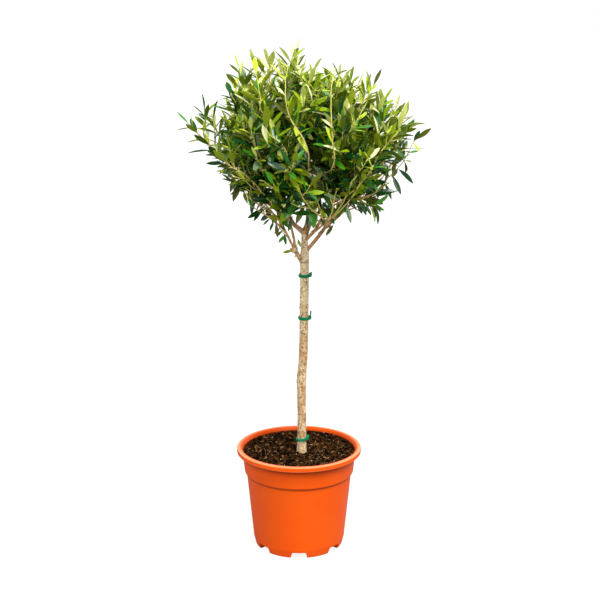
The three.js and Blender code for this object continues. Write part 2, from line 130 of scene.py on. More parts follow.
# Crown: how far it reaches from its heart on each side, by the angle from straight up
REACH_ANGLES = np.radians([0, 15, 30, 45, 55, 65, 85])
RIGHT_REACH = [276, 278, 268, 258, 230, 176, 118]
LEFT_REACH = [298, 306, 278, 254, 200, 134, 62]
MIDDLE_REACH = [290, 290, 284, 264, 226, 178, 100]

# Side twigs aim at places down to the lowest angle and outside the bare middle. Their distances lie
# between one reach for all sides and the crown's own, by this share
TOP_REACH = 308.0
LOWEST_AIM = math.radians(85)
AIMS_BY_REACH = 0.55
BARE_MIDDLE = 0.42

# The skirt that the low leaves end at: its height round the heart, how far out it starts to rise
# and how steeply, at the front and back, at the left and at the right
SKIRT_Z = 558.0
SKIRT_FROM = [22, 62, 102]
SKIRT_SLOPE = [0.36, 0.95, 0.78]
HANG_UNDER_SKIRT = 5.0
TWIG_UNDER_SKIRT = 3.0

# The crown is open outside two leaning lines, at the left and at the low right: few twigs grow there
OPEN_LEFT_X = -100.0
OPEN_LEFT_LEAST = -120.0
OPEN_LEFT_LEAN = 0.25
OPEN_LEFT_FROM_Z = 800.0
OPEN_RIGHT_X = 78.0
OPEN_RIGHT_Z = 590.0
OPEN_RIGHT_SLOPE = 1.2
OPEN_KEPT = 0.16
OPEN_SPRIGS_KEPT = 0.5
OPEN_LEAVES_KEPT = 0.5

# How many leaves are missing low down, where light falls through: none from the first height up,
# and this share at the second
LOW_THIN_FROM_Z = 790.0
LOW_THIN_TO_Z = 600.0
LOW_THIN = 0.49

# How many leaves are missing inside, where it's dark: this share up to the first share of the
# crown's reach, and none from the second
INNER_FROM = 0.35
INNER_TO = 0.86
INNER_THIN = 0.64

# Side twigs: how many are tried, how long they are, the stretch of the leading shoot that they
# leave from, how far they follow it, bow and rise, and how near they come to each other
TWIG_TRIALS = 740
TWIG_LENGTH = 120.0
LONGEST_TWIG = 180.0
SHORTEST_TWIG = 30.0
FIRST_TWIG_AT = 0.06
LAST_TWIG_AT = 0.84
TWIG_FOLLOWS = 0.4
TWIG_BOW = 0.45
TWIG_RISE = 0.5
LEAD_BOW = 0.4
TWIG_RADIUS = 1.5
TWIG_TIP_RADIUS = 0.6
LEAD_TIP_RADIUS = 0.9
TWIG_SIDES = 6
LEAD_SIDES = 8
TWIG_STEP = 7.0
TWIG_APART = 2.6
WANDER = 1.6
WANDER_WIDTH = 17.0
OPEN_SEED = 5000

# Steps of the even sequence that spreads the aims: one number, its square and its cube
AIM_STEPS = (0.8191725133961645, 0.6710436067037893, 0.5497004779019703)

# Sprigs: how far apart they stand on a side twig and on a leading shoot, where they begin and end,
# how far each turns from the last, how long they are, and how they lean out and rise
SPRIG_RADIUS = 0.85
SPRIG_SPACING = 34
LEAD_SPRIG_SPACING = 26
SPRIGS_ALONG = (0.25, 0.86)
SPRIG_TURN = 2.4
SPRIG_LENGTHS = (20, 48)
LAST_SPRIG = 0.75
SPRIG_LEAN = 0.95
SPRIG_RISE = 0.18

# Leaves, at their real size, in pairs this far apart
LEAF_LENGTH = 42.0
LEAF_WIDTH = 11.0
LEAF_SPACING = 12.2

# How far a leaf leans out from its twig and how large it is, at the twig's foot and at its tip,
# and how both vary. The last leaf stands in the twig's own line
LEAF_LEAN = (1.15, 0.7)
LEAN_VARIES = (0.75, 1.25)
LEAF_SIZE = (1, 0.64)
SIZE_VARIES = (0.66, 1.22)
LAST_LEAF = 0.8
LAST_LEAF_LEAN = 0.06

# How a leaf's own form varies: its bend, the fold along its midrib, and how slim it is
LEAF_CURL = (-0.06, 0.16)
LEAF_FOLD = (0.1, 0.5)
LEAF_SLIM = (0.82, 1.15)

# How leaves hang: from which height down, until all do, how far low leaves and those of hanging
# shoots are drawn down, how loosely they face as they hang, and how they turn to the light
HANG_FROM_Z = 680.0
HANG_TO_Z = 560.0
LOW_HANG = (-0.1, 1.6)
OLD_HANG = (0.1, 2.0)
LOOSE = (0.25, 1.5)
TO_LIGHT = 0.45
OLD_TO_FRONT = np.array([0, -1.1, 0])

# Where leaves may be: how far from the limbs, how far past their mass's space, and out to which
# share of the crown's reach. They are younger, and painted paler as if lit from above, from the first
# height up to the second, and as the camera looks down, what is further back shows higher by this share
LIMB_MARGIN = 1.3
LEAF_OVER_SPACE = -24.0
OVER_REACH = 1.06
YOUNG_Z = (630, 850)
SEEN_DOWN = 0.235

# Flower buds: short spikes of them in the axils of the upper leaves
BUDS_FROM_Z = 640.0
BUDS_KEPT = 0.34
BUD_PLACES = np.array([1.2, 3.0, 4.9, 6.5])
BUD_RADII = np.array([0.9, 1.25, 1.1, 0.8])
FACES_OF_SPIKE = 32

# Kinds of twig: the leading shoot, side twigs and shoots like them, sprigs, bare ones, those whose
# old leaves hang, and those at the crown's edge. For each: how much of it bears no leaves, how far
# apart its leaves stand and how large they are, against those of a side twig
LEAD, SIDE, SPRIG, BARE, HANGING, EDGE = range(6)
BARE_SHARE = (0.1, 0.2, 0.2, 0.9, 0.1, 0.1)
SPACING_SHARE = (1, 1, 0.74, 1, 1.2, 0.8)
SIZE_SHARE = (1, 1, 0.86, 1, 0.86, 1)

# Shoots that stand free at the front of the crown, by mass: how thick they are, how near leaves
# come to them there, how many of those leaves stay all the same, and how near a shoot its own are
FRONT_SHOOTS = {
    "top_middle": [
        [(10, -40, 628), (14, -112, 655), (12, -150, 693), (-13, -155, 736), (-20, -150, 766),
         (-16, -120, 812)],
        [(12, -26, 640), (38, -100, 648), (52, -140, 666), (49, -155, 719), (47, -140, 773),
         (54, -110, 806)],
    ],
    "left_front": [
        [(-24, -45, 598), (-16, -100, 640), (-24, -146, 696), (-45, -150, 714), (-54, -140, 754),
         (-64, -110, 796)],
        [(-21, -36, 580), (-39, -84, 595), (-61, -108, 628), (-84, -116, 649), (-107, -112, 665),
         (-147, -80, 712)],
    ],
    "right_front": [
        [(44, -47, 582), (76, -118, 619), (99, -126, 643), (123, -122, 681), (148, -106, 711),
         (160, -88, 734)],
    ],
}
SHOOT_RADIUS = 1.2
FREE_OF_LEAVES = 4.5
OVER_SHOOTS_KEPT = 0.42
OWN_LEAF = 5.0

# Young shoots that stand out of the crown's edge, each in the mass whose space its tip is in
EDGE_SHOOTS = [
    [(-9, -46, 762), (-11, -44, 780), (-13, -42, 798), (-11, -38, 812), (-8, -34, 823)],
    [(-78, -12, 752), (-87, -12, 776), (-93, -12, 797)],
    [(-41, -16, 764), (-43, -16, 785), (-46, -16, 803)],
    [(83, -30, 728), (98, -30, 746), (109, -28, 761), (115, -26, 775)],
    [(106, -34, 714), (120, -34, 732), (131, -32, 748)],
    [(90, -24, 734), (100, -22, 752), (104, -20, 766)],
    [(145, -44, 686), (155, -42, 704), (160, -38, 718), (163, -36, 726)],
    [(-146, -20, 702), (-147, -20, 720), (-148, -20, 734)],
]

# Shoots under the crown's low edge, by mass, whose old leaves hang
HANGING_SHOOTS = {
    "left": [
        [(-47, -11, 584), (-59, -20, 597), (-78, -26, 618), (-99, -30, 639), (-116, -34, 656)],
        [(-35, -12, 566), (-45, -20, 577), (-56, -24, 587)],
    ],
    "right_low": [
        [(63, -20, 585), (82, -26, 596), (99, -28, 594), (113, -30, 588)],
        [(85, -18, 596), (105, -22, 605), (115, -24, 595), (122, -26, 586)],
        [(107, -22, 607), (120, -20, 613), (137, -22, 626), (163, -26, 653), (183, -30, 693)],
    ],
}
HANGING_RADIUS = 1.1

# Bare shoots by mass: short ones beside the lowest bough, and a twig across the front of the fork
LOW_SHOOTS = {
    "low_left": [
        [(-17, -16, 534), (-26, -19, 547), (-38, -23, 560), (-47, -25, 567)],
        [(-30, -21, 552), (-33, -22, 562), (-36, -24, 578)],
        [(-15, -15, 529), (-22, -18, 538), (-32, -21, 551)],
        [(-7, -11, 511), (-9, -13, 511), (-11, -14, 511)],
        [(-5, -12, 515), (-3, -14, 522), (-2, -15, 531)],
    ],
}
FORK_TWIGS = {"low_front": [[(27, -27, 547), (25, -50, 580), (14, -70, 607), (-8, -74, 621)]]}

# Old leaves that hang beside the bare shoots, by mass: each one's root and tip
PLACED_LEAVES = {
    "low_left": [
        ((-36, -24, 577), (-16, -22, 551)), ((-37, -24, 559), (-34, -26, 535)),
        ((-22, -18, 538), (-33, -22, 526)), ((-36, -24, 568), (-48, -27, 566)),
        ((-40, -24, 562), (-47, -28, 546)), ((-10, -13, 511), (-26, -16, 509)),
        ((-2, -15, 531), (3, -17, 518)), ((-30, -21, 550), (-40, -24, 541)),
        ((-46, -25, 566), (-58, -27, 556)), ((-26, -19, 546), (-36, -22, 536)),
        ((-33, -22, 564), (-22, -26, 546)), ((-24, -18, 541), (-21, -22, 522)),
    ],
    "low_front": [
        ((5, -80, 610), (-23, -86, 576)), ((10, -82, 598), (-5, -88, 568)),
        ((13, -82, 606), (21, -90, 570)), ((24, -82, 596), (23, -86, 560)),
        ((39, -74, 592), (56, -80, 566)), ((-8, -78, 600), (-30, -84, 569)),
        ((50, -60, 598), (57, -64, 572)), ((60, -58, 600), (64, -62, 574)),
        ((36, -74, 590), (38, -78, 563)), ((56, -24, 556), (43, -27, 538)),
        ((-10, -40, 572), (-17, -44, 548)), ((20, -60, 590), (12, -66, 558)),
    ],
}

# Where a leading shoot ends, if not at its mass's own tip
LEAD_ENDS = {"low_left": (-112, -50, 636)}

# The limbs, each from inside its parent to its tip, with the radius there and there
LIMBS = {
    "trunk": ([(*TRUNK_FOOT, 160.3), (4.8, -5, 235), (4.1, -4.6, 285), (7.4, -4.2, 340), (8.6, -4, 430),
               (9.5, -4, 541)], TRUNK_RADIUS, TRUNK_TOP_RADIUS),
    "bough_centre": ([HEART, (15.2, -1, 562), (9, 2, 618)], 4.7, 3.1),
    "bough_left": ([HEART, (-13.7, -8, 558), (-40, -10, 581)], 4, 2.8),
    "bough_right": ([(9.6, -4, 506), (31, -9, 533), (45.7, -12, 554), (66, -16, 583)], 3.1, 2.7),
    "bough_low_left": ([(8, -4, 487), (-8, -9, 513)], 4, 3.6),
    "bough_right_front": ([(10, -4, 527), (24, -20, 544), (45, -48, 586)], 3, 2.1),
    "bough_right_back": ([(10, -4, 531), (19, 13, 552), (34, 42, 592)], 3.1, 2.1),
    "bough_left_outer": ([(-6.5, -9, 511), (-14, -14, 527), (-21, -20, 543)], 2.2, 1.8),
    "bough_left_inner": ([(-6.5, -9, 511), (-8.5, -17, 533), (-22, -37, 586)], 2.3, 1.8),
    "bough_left_back": ([(-10, -7, 555), (-18, 8, 572), (-34, 33, 602)], 2.7, 1.9),
    "bough_top_left": ([(-18, -8, 562), (-24, -4, 582), (-31, -1, 622)], 2.7, 2),
    "bough_top_right": ([(15, -1, 566), (24, -5, 590), (34, -8, 632)], 2.8, 2),
    "bough_top_back": ([(14.4, -0.6, 574), (15, 14, 600), (12, 32, 640)], 2.7, 2),
    "bough_right_low": ([(42, -11, 549), (55, -6, 558), (68, 0, 569)], 2.3, 1.8),
    "bough_low_front": ([(22, -18, 542), (28, -26, 547), (34, -38, 554)], 2.2, 1.7),
    "bough_low_back": ([(19, 12, 550), (22, 26, 557), (24, 40, 564)], 2.2, 1.7),
}

# The crown's masses: the bough that carries each, and the tip of its leading shoot
MASSES = {
    "top_middle": ("bough_centre", (-6, -58, 841)),
    "top_left": ("bough_top_left", (-78, 6, 835)),
    "top_right": ("bough_top_right", (76, -14, 808)),
    "top_back": ("bough_top_back", (6, 84, 818)),
    "left": ("bough_left", (-197, -14, 737)),
    "left_front": ("bough_left_inner", (-98, -124, 742)),
    "left_back": ("bough_left_back", (-104, 126, 744)),
    "right": ("bough_right", (172, -40, 752)),
    "right_front": ("bough_right_front", (92, -132, 736)),
    "right_back": ("bough_right_back", (98, 130, 742)),
    "right_low": ("bough_right_low", (203, 30, 700)),
    "low_left": ("bough_left_outer", (-120, -58, 612)),
    "low_front": ("bough_low_front", (60, -130, 592)),
    "low_back": ("bough_low_back", (30, 138, 598)),
}

# Ties: height on the trunk, length of the loose end, and tilt in degrees
TIES = {"tie_lower": (187, 3, 7), "tie_middle": (397, 11, 0), "tie_upper": (468, 4, 2)}
TIE_HEIGHT = 5.2
TIE_THICKNESS = 2.2

# Old branch scars on the trunk: height, turn in degrees from the right, how far each stands out,
# and how wide it is
SCARS = [
    (491, 282, 0.7, 3.2), (459, 300, 0.5, 2.6), (443, 246, 0.9, 3.0), (441, 186, 0.6, 3.4),
    (414, 192, 0.9, 3.6), (407, 292, 0.9, 2.8), (389, 288, 0.7, 3.0), (371, 236, 0.5, 2.2),
    (352, 60, 0.9, 3.4), (330, 320, 0.6, 2.6), (303, 120, 0.8, 3.4), (288, 200, 0.7, 5.5),
    (262, 250, 0.5, 2.2), (241, 30, 0.8, 3.2), (222, 300, 0.5, 2.4), (428, 90, 0.8, 3.2),
    (470, 140, 0.7, 3.0), (203, 150, 0.6, 3.0),
]

# Thin cracks across the bark: height, turn in degrees and how far each runs either way
CRACKS = [(490.5, 275, 95), (458.5, 300, 50), (231, 250, 40), (372, 250, 30), (506, 90, 60), (334, 110, 50)]


# Arrays, curves and shells


def smoothstep(value, low, high):
    """0 below low, 1 above high, and 3t^2 - 2t^3 between them."""
    t = np.clip((value - low) / (high - low), 0, 1)
    return t * t * (3 - 2 * t)


def share(low, high, t):
    """The value t of the way from low to high."""
    return low + (high - low) * t


def unit(vectors):
    """Each vector divided by its length."""
    return vectors / np.maximum(np.linalg.norm(vectors, axis=-1, keepdims=True), 1e-12)


def lattice_value(cells, seed):
    """A repeatable value from 0 to 1 for each whole-number cell: its three numbers and the seed are
    multiplied by large primes and mixed."""
    c = cells.astype(np.uint64)
    mixed = c[..., 0] * np.uint64(73856093) ^ c[..., 1] * np.uint64(19349663)
    mixed = mixed ^ c[..., 2] * np.uint64(83492791) ^ np.uint64(seed * 2654435761)
    mixed = mixed & np.uint64(0xFFFFFFFF)
    for prime in (2246822519, 3266489917):
        mixed = (mixed ^ (mixed >> np.uint64(15))) * np.uint64(prime) & np.uint64(0xFFFFFFFF)
    return ((mixed ^ (mixed >> np.uint64(16))) & np.uint64(0xFFFFFF)) / float(0xFFFFFF)


def noise(places, size, seed):
    """Smooth value noise from -1 to 1 with lumps about size wide (one size, or one for each axis):
    the eight lattice values round a place, blended by smoothstep in each direction."""
    scaled = places / np.asarray(size, float) + 1000.0
    cell = np.floor(scaled).astype(np.int64)
    part = scaled - cell
    ease = part * part * (3 - 2 * part)
    total = np.zeros(places.shape[:-1])
    for corner in itertools.product((0, 1), repeat=3):
        weight = np.prod(np.where(np.array(corner) == 1, ease, 1 - ease), axis=-1)
        total += weight * lattice_value(cell + np.array(corner), seed)
    return 2 * total - 1


def even_places(line, count):
    """count places at equal steps of length along a polyline."""
    lengths = np.linalg.norm(np.diff(line, axis=0), axis=1)
    run = np.concatenate([[0], np.cumsum(lengths)])
    wanted = np.linspace(0, run[-1], count)
    return np.stack([np.interp(wanted, run, line[:, k]) for k in range(3)], axis=1)


def curve_through(points, count):
    """A centripetal Catmull-Rom curve through the points: each stretch is a cubic whose end slopes
    come from its neighbours, timed by the square root of the distances. count even places."""
    p = np.array([np.asarray(q, float) for q in points])
    if len(p) == 2:
        return even_places(p, count)
    p = np.vstack([2 * p[0] - p[1], p, 2 * p[-1] - p[-2]])
    d = np.sqrt(np.linalg.norm(np.diff(p, axis=0), axis=1))[:, None]
    start, end = p[1:-2], p[2:-1]
    before, here, after = d[:-2], d[1:-1], d[2:]
    slope = (start - p[:-3]) / before - (end - p[:-3]) / (before + here) + (end - start) / here
    slope_on = (end - start) / here - (p[3:] - start) / (here + after) + (p[3:] - end) / after
    slope, slope_on = slope * here, slope_on * here
    t = np.linspace(0, 1, 60, endpoint=False)[:, None, None]
    square = -3 * start + 3 * end - 2 * slope - slope_on
    cube = 2 * start - 2 * end + slope + slope_on
    fine = (start + slope * t + square * t**2 + cube * t**3).swapaxes(0, 1).reshape(-1, 3)
    return even_places(np.vstack([fine, p[-2]]), count)


def bow(start, middle, end, count):
    """A quadratic curve from start to end, drawn towards middle, as even places."""
    t = np.linspace(0, 1, max(3 * count, 12))[:, None]
    return even_places((1 - t) ** 2 * start + 2 * t * (1 - t) * middle + t**2 * end, count)


def tangents(line):
    """The direction of a line of places at each place."""
    return unit(np.gradient(line, axis=0))


def squared(way, along):
    """A way, or one for each place, with its part along each direction taken out."""
    part = np.einsum("nk,nk->n", np.broadcast_to(way, along.shape), along)
    return unit(way - along * part[:, None])


def ring_frames(line):
    """The direction of a line at each of its places, and two across it: a fixed direction with its
    part along the line taken out, and the one square to both."""
    along = tangents(line)
    fixed = np.eye(3)[np.argmin(np.abs(line[-1] - line[0]))]
    aside = squared(fixed, along)
    return along, aside, np.cross(along, aside)


def turns(count):
    """Even turns round a circle."""
    return np.arange(count) * 2 * math.pi / count


def grid_faces(rings, sides):
    """Quads between each ring of points and the next, closed round the ring."""
    i, j = np.meshgrid(np.arange(rings - 1), np.arange(sides), indexing="ij")
    a, b = i * sides + j, i * sides + (j + 1) % sides
    return np.stack([a, b, b + sides, a + sides], axis=-1).reshape(-1, 4)


def fan_faces(first, sides, pole, outward):
    """Triangles from a ring to its pole. The fourth number is -1, as for every triangle here."""
    j = np.arange(sides)
    a, b = first + j, first + (j + 1) % sides
    around = [b, a] if outward else [a, b]
    return np.stack([*around, np.full(sides, pole), np.full(sides, -1)], axis=-1)


def closed_rings(rings):
    """A shell through rings of points (count, sides, 3), closed by a fan at each end, whose pole is
    the middle of the end ring."""
    count, sides = rings.shape[:2]
    poles = np.stack([rings[0].mean(axis=0), rings[-1].mean(axis=0)])
    points = np.vstack([rings.reshape(-1, 3), poles])
    last = (count - 1) * sides
    faces = np.vstack([
        grid_faces(count, sides),
        fan_faces(0, sides, count * sides, True),
        fan_faces(last, sides, count * sides + 1, False),
    ])
    return points, faces


def tube_rings(line, radii, sides, flat=1.0):
    """Rings round a line: each is an ellipse of the radius there, flat times as high across its
    second direction."""
    _, aside, other = ring_frames(line)
    angle = turns(sides)
    out = aside[:, None] * np.cos(angle)[None, :, None]
    out = out + flat * other[:, None] * np.sin(angle)[None, :, None]
    return line[:, None] + out * radii[:, None, None]


def joined(shells):
    """Several shells as one: their points end to end, with their faces' numbers moved on."""
    points, faces, start = [], [], 0
    for shell_points, shell_faces in shells:
        points.append(shell_points)
        faces.append(np.where(shell_faces < 0, -1, shell_faces + start))
        start += len(shell_points)
    return np.vstack(points), np.vstack(faces)


def rounded(corners, radii, steps=5):
    """An outline through corners of radius and height, with each corner turned into an arc of its
    own radius: it starts and ends where the arc meets the straight sides. 0 keeps a corner sharp."""
    p = np.array(corners, float)
    outline = [p[0]]
    for before, corner, after, radius in zip(p[:-2], p[1:-1], p[2:], radii):
        if radius == 0:
            outline.append(corner)
            continue
        back, on = unit(before - corner), unit(after - corner)
        half = math.acos(np.clip(back @ on, -1, 1)) / 2
        reach = radius / math.tan(half)
        centre = corner + unit(back + on) * radius / math.sin(half)
        first, last = corner + back * reach - centre, corner + on * reach - centre
        t = np.linspace(0, 1, steps)[:, None]
        arc = unit(share(first, last, t)) * radius
        outline.extend(centre + arc)
    outline.append(p[-1])
    return np.array(outline)


def revolved(radius, height, sides):
    """Rings about the vertical axis, one for each radius and height."""
    angle = turns(sides)
    across = radius[:, None]
    level = np.repeat(height[:, None], sides, 1)
    return np.stack([across * np.cos(angle), across * np.sin(angle), level], axis=-1)


def ball_rings(columns, rows, end):
    """A ball of radius 1 as rings from its foot up. Its end rings are end rows from the poles."""
    height = np.cos(np.linspace(end, rows - end, rows) * math.pi / rows)[::-1]
    return revolved(np.sqrt(1 - height**2), height, columns)


def turned(outline, sides):
    """An outline of radius and height turned about the vertical axis, as a closed shell whose ends
    are on the axis. The outline runs upwards outside, so that the faces point out."""
    points, faces = closed_rings(revolved(outline[1:-1, 0], outline[1:-1, 1], sides))
    points[-2:] = [[0, 0, outline[0, 1]], [0, 0, outline[-1, 1]]]
    return points, faces


def in_scene(name, data):
    """A new object in the scene, with its mesh, camera or lamp."""
    made = bpy.data.objects.new(name, data)
    bpy.context.scene.collection.objects.link(made)
    return made


def piece(name, shell, materials, slots=None, smooth=True, sharp_angle=None):
    """A mesh object in the row's frame, from a shell in millimetres. slots gives each face's place
    in the list of materials."""
    points, faces = shell
    mesh = bpy.data.meshes.new(name)
    corners = faces[faces >= 0]
    sizes = (faces >= 0).sum(axis=1)
    mesh.vertices.add(len(points))
    mesh.vertices.foreach_set("co", (points * MM).astype(np.float32).ravel())
    mesh.loops.add(len(corners))
    mesh.loops.foreach_set("vertex_index", corners.astype(np.int32))
    mesh.polygons.add(len(faces))
    mesh.polygons.foreach_set("loop_start", (np.cumsum(sizes) - sizes).astype(np.int32))
    mesh.polygons.foreach_set("use_smooth", np.full(len(faces), smooth))
    for material in materials:
        mesh.materials.append(material)
    if slots is not None:
        mesh.polygons.foreach_set("material_index", slots.astype(np.int32))
    mesh.update(calc_edges=True)
    if sharp_angle is not None:
        mesh.set_sharp_from_angle(angle=sharp_angle)
    return in_scene(name, mesh)


def finished(made, slot, *nodes):
    """Says what a piece rides on and stands for. The finish that it is given is not used."""
    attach(made, "root")
    if nodes:
        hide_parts(*nodes)


# Materials


def colour(red, green, blue):
    """A colour as seen on a screen, 0 to 255, as the light values that shaders use."""
    seen = np.array([red, green, blue]) / 255
    light = np.where(seen <= 0.04045, seen / 12.92, ((seen + 0.055) / 1.055) ** 2.4)
    return (*light.tolist(), 1.0)


def put(tree, socket, value):
    """Feeds a socket: by a link from another socket, or with a plain value."""
    if isinstance(value, bpy.types.NodeSocket):
        tree.links.new(value, socket)
    else:
        socket.default_value = value


def feed(tree, target, **values):
    """Puts each value into the input of a node that it is named for."""
    for key, value in values.items():
        put(tree, target.inputs[key.replace("_", " ")], value)


def node(tree, kind, *first, **settings):
    """A node of a kind. Each setting is for the input of its name or, if there is none, for the node
    itself, and what comes before the settings goes into the first inputs."""
    made = tree.nodes.new(kind)
    for key, value in settings.items():
        if key in made.inputs:
            put(tree, made.inputs[key], value)
        else:
            setattr(made, key, value)
    for socket, value in zip(made.inputs, first):
        put(tree, socket, value)
    return made


def ramp(tree, value, stops):
    """A colour ramp through (place, colour) stops, read at a value."""
    made = node(tree, "ShaderNodeValToRGB", value)
    elements = made.color_ramp.elements
    while len(elements) < len(stops):
        elements.new(0.5)
    for element, (place, tint) in zip(elements, stops):
        element.position = place
        element.color = tint
    return made.outputs["Color"]


def blended(tree, factor, first, second):
    """Two colours mixed by a factor."""
    made = node(tree, "ShaderNodeMix", factor, data_type="RGBA")
    put(tree, made.inputs[6], first)
    put(tree, made.inputs[7], second)
    return made.outputs[2]


def ranged(tree, value, low, high, to_low=0.0, to_high=1.0):
    """A value carried from one range to another, held at its ends."""
    return node(tree, "ShaderNodeMapRange", value, low, high, to_low, to_high).outputs["Result"]


def combined(tree, operation, first, second):
    """Two values added, multiplied and so on."""
    return node(tree, "ShaderNodeMath", first, second, operation=operation).outputs[0]


def cloud(tree, place, scale, detail, roughness):
    """The value of a noise texture at a place."""
    made = node(tree, "ShaderNodeTexNoise", Vector=place, Scale=scale, Detail=detail, Roughness=roughness)
    return made.outputs["Fac"]


def stretched(tree, place, up):
    """Coordinates whose height is multiplied, so that a pattern on them is drawn out or flattened."""
    return node(tree, "ShaderNodeMapping", Vector=place, Scale=(1, 1, up)).outputs[0]


def pattern_group(name, colours, values):
    """A shader node group with inputs for colours, coordinates and values, whose outputs are a colour,
    a roughness and a height. Gives its tree, its inputs to read from and its output node."""
    tree = bpy.data.node_groups.new(name, "ShaderNodeTree")
    for label in colours:
        tree.interface.new_socket(name=label, in_out="INPUT", socket_type="NodeSocketColor")
    tree.interface.new_socket(name="Coordinates", in_out="INPUT", socket_type="NodeSocketVector")
    for label, value in values.items():
        socket = tree.interface.new_socket(name=label, in_out="INPUT", socket_type="NodeSocketFloat")
        socket.default_value = value
    for label, kind in (("Color", "Color"), ("Roughness", "Float"), ("Height", "Float")):
        tree.interface.new_socket(name=label, in_out="OUTPUT", socket_type="NodeSocket" + kind)
    return tree, tree.nodes.new("NodeGroupInput").outputs, tree.nodes.new("NodeGroupOutput")


def new_material(name, **settings):
    """A material with one Principled shader, its plain sockets set by name."""
    made = bpy.data.materials.new(name)
    made.use_nodes = True
    tree = made.node_tree
    shader = tree.nodes["Principled BSDF"]
    feed(tree, shader, **settings)
    made.diffuse_color = tuple(shader.inputs["Base Color"].default_value)
    return made, tree, shader


def bark_group():
    """Bark from the object's own coordinates: a colour, a roughness and a height. Long blotches run
    up the limb, ochre and grey patches lie over them, and dark lenticels are scattered in bands."""
    values = {"Specks": 0.5, "Scars": 0.0, "Worn": 0.0, "Young": 0.0}
    tree, given, out = pattern_group("bark_pattern", ("Pale", "Tan", "Ochre", "Dark"), values)
    place = given["Coordinates"]
    tall = stretched(tree, place, 0.28)
    wide = stretched(tree, place, 1.7)
    blotch = cloud(tree, tall, 260, 5, 0.7)
    patch = cloud(tree, place, 62, 3, 0.55)
    grain = cloud(tree, tall, 900, 3, 0.6)
    cracks = cloud(tree, wide, 170, 2, 0.5)
    bent = node(tree, "ShaderNodeTexNoise", Vector=place, Scale=520, Detail=2, Roughness=0.5)
    ragged = node(
        tree, "ShaderNodeVectorMath", bent.outputs["Color"], (0.0022, 0.0022, 0.0022), wide,
        operation="MULTIPLY_ADD",
    )
    spots = node(tree, "ShaderNodeTexVoronoi", Vector=ragged.outputs[0], Scale=215, Randomness=1)
    shade = blended(tree, ranged(tree, blotch, 0.42, 0.6), given["Pale"], given["Tan"])
    worn = combined(tree, "MULTIPLY", given["Worn"], blotch)
    ochre = combined(tree, "ADD", ranged(tree, patch, 0.5, 0.64, 0, 0.7), worn)
    shade = blended(tree, ochre, shade, given["Ochre"])
    # painted light: bark painted paler where the piece marks it, against the crown's shade
    shade = blended(tree, combined(tree, "MULTIPLY", given["Young"], 0.6), shade, given["Pale"])
    shade = blended(tree, ranged(tree, grain, 0.5, 0.66, 0, 0.5), shade, given["Dark"])
    reach = ranged(tree, bent.outputs["Fac"], 0.35, 0.65, 0.16, 0.46)
    dot = ranged(tree, combined(tree, "SUBTRACT", spots.outputs["Distance"], reach), -0.06, 0.06, 1, 0)
    speck = combined(tree, "MULTIPLY", dot, ranged(tree, cracks, 0.46, 0.51))
    speck = combined(tree, "MULTIPLY", speck, given["Specks"])
    speck = combined(tree, "MAXIMUM", speck, given["Scars"])
    shade = blended(tree, speck, shade, given["Dark"])
    height = combined(tree, "ADD", combined(tree, "MULTIPLY", grain, 0.6), blotch)
    height = combined(tree, "SUBTRACT", height, combined(tree, "MULTIPLY", speck, 0.5))
    feed(tree, out, Color=shade, Roughness=ranged(tree, blotch, 0.3, 0.7, 0.72, 0.92), Height=height)
    return tree


def moulded_group():
    """Moulded plastic: a faint cloud in the colour, scuffs that run round it, a painted highlight on its
    edges, painted shade in its creases, a varied gloss and a fine grain."""
    values = {"Gloss": 0.4, "Edges": 0.0, "Creases": 0.0}
    tree, given, out = pattern_group("moulded_pattern", ("Color", "Worn", "Pale", "Grime"), values)
    place = given["Coordinates"]
    haze = cloud(tree, place, 16, 4, 0.55)
    grain = cloud(tree, place, 1500, 2, 0.5)
    scuffs = cloud(tree, stretched(tree, place, 9), 95, 5, 0.7)
    shade = blended(tree, ranged(tree, haze, 0.35, 0.7, 0, 0.55), given["Color"], given["Worn"])
    scuffed = ranged(tree, scuffs, 0.62, 0.74, 0, 0.22)
    shade = blended(tree, scuffed, shade, given["Worn"])
    # a painted highlight on the edges that the piece marks, broken up by the scuffs
    rubbed = combined(tree, "MULTIPLY", given["Edges"], ranged(tree, scuffs, 0.2, 0.6, 0.5, 1))
    shade = blended(tree, rubbed, shade, given["Pale"])
    # painted shade in the creases that the piece marks
    shade = blended(tree, given["Creases"], shade, given["Grime"])
    rough = combined(tree, "ADD", given["Gloss"], ranged(tree, haze, 0.3, 0.7, -0.05, 0.07))
    rough = combined(tree, "ADD", rough, combined(tree, "MULTIPLY", scuffed, 0.6))
    feed(tree, out, Color=shade, Roughness=rough, Height=grain)
    return tree


def patterned_material(name, group, marks, shine, bump, base, **values):
    """A material whose colour, roughness and relief come from a group that is given values by name.
    marks feeds the group what it reads from the piece, bump is the relief's strength and its depth in
    metres, and base is the colour without a pattern."""
    made, tree, shader = new_material(name, Base_Color=base, Specular_IOR_Level=shine)
    place = node(tree, "ShaderNodeTexCoord").outputs["Object"]
    pattern = node(tree, "ShaderNodeGroup", node_tree=group)
    feed(tree, pattern, Coordinates=place, **values)
    if marks:
        marks(tree, pattern)
    relief = node(tree, "ShaderNodeBump", Strength=bump[0], Distance=bump[1])
    feed(tree, relief, Height=pattern.outputs["Height"])
    feed(tree, shader, Base_Color=pattern.outputs["Color"], Roughness=pattern.outputs["Roughness"])
    feed(tree, shader, Normal=relief.outputs["Normal"])
    return made


def bark_marks(tree, pattern):
    """The limb's scars, worn bark, and bark painted paler up the trunk where the crown shades it, as its
    mesh is marked with them.
    """
    marks = node(tree, "ShaderNodeAttribute", attribute_name="bark_marks")
    parts = node(tree, "ShaderNodeSeparateColor", marks.outputs["Color"]).outputs
    feed(tree, pattern, Scars=parts[0], Worn=parts[1], Young=parts[2])
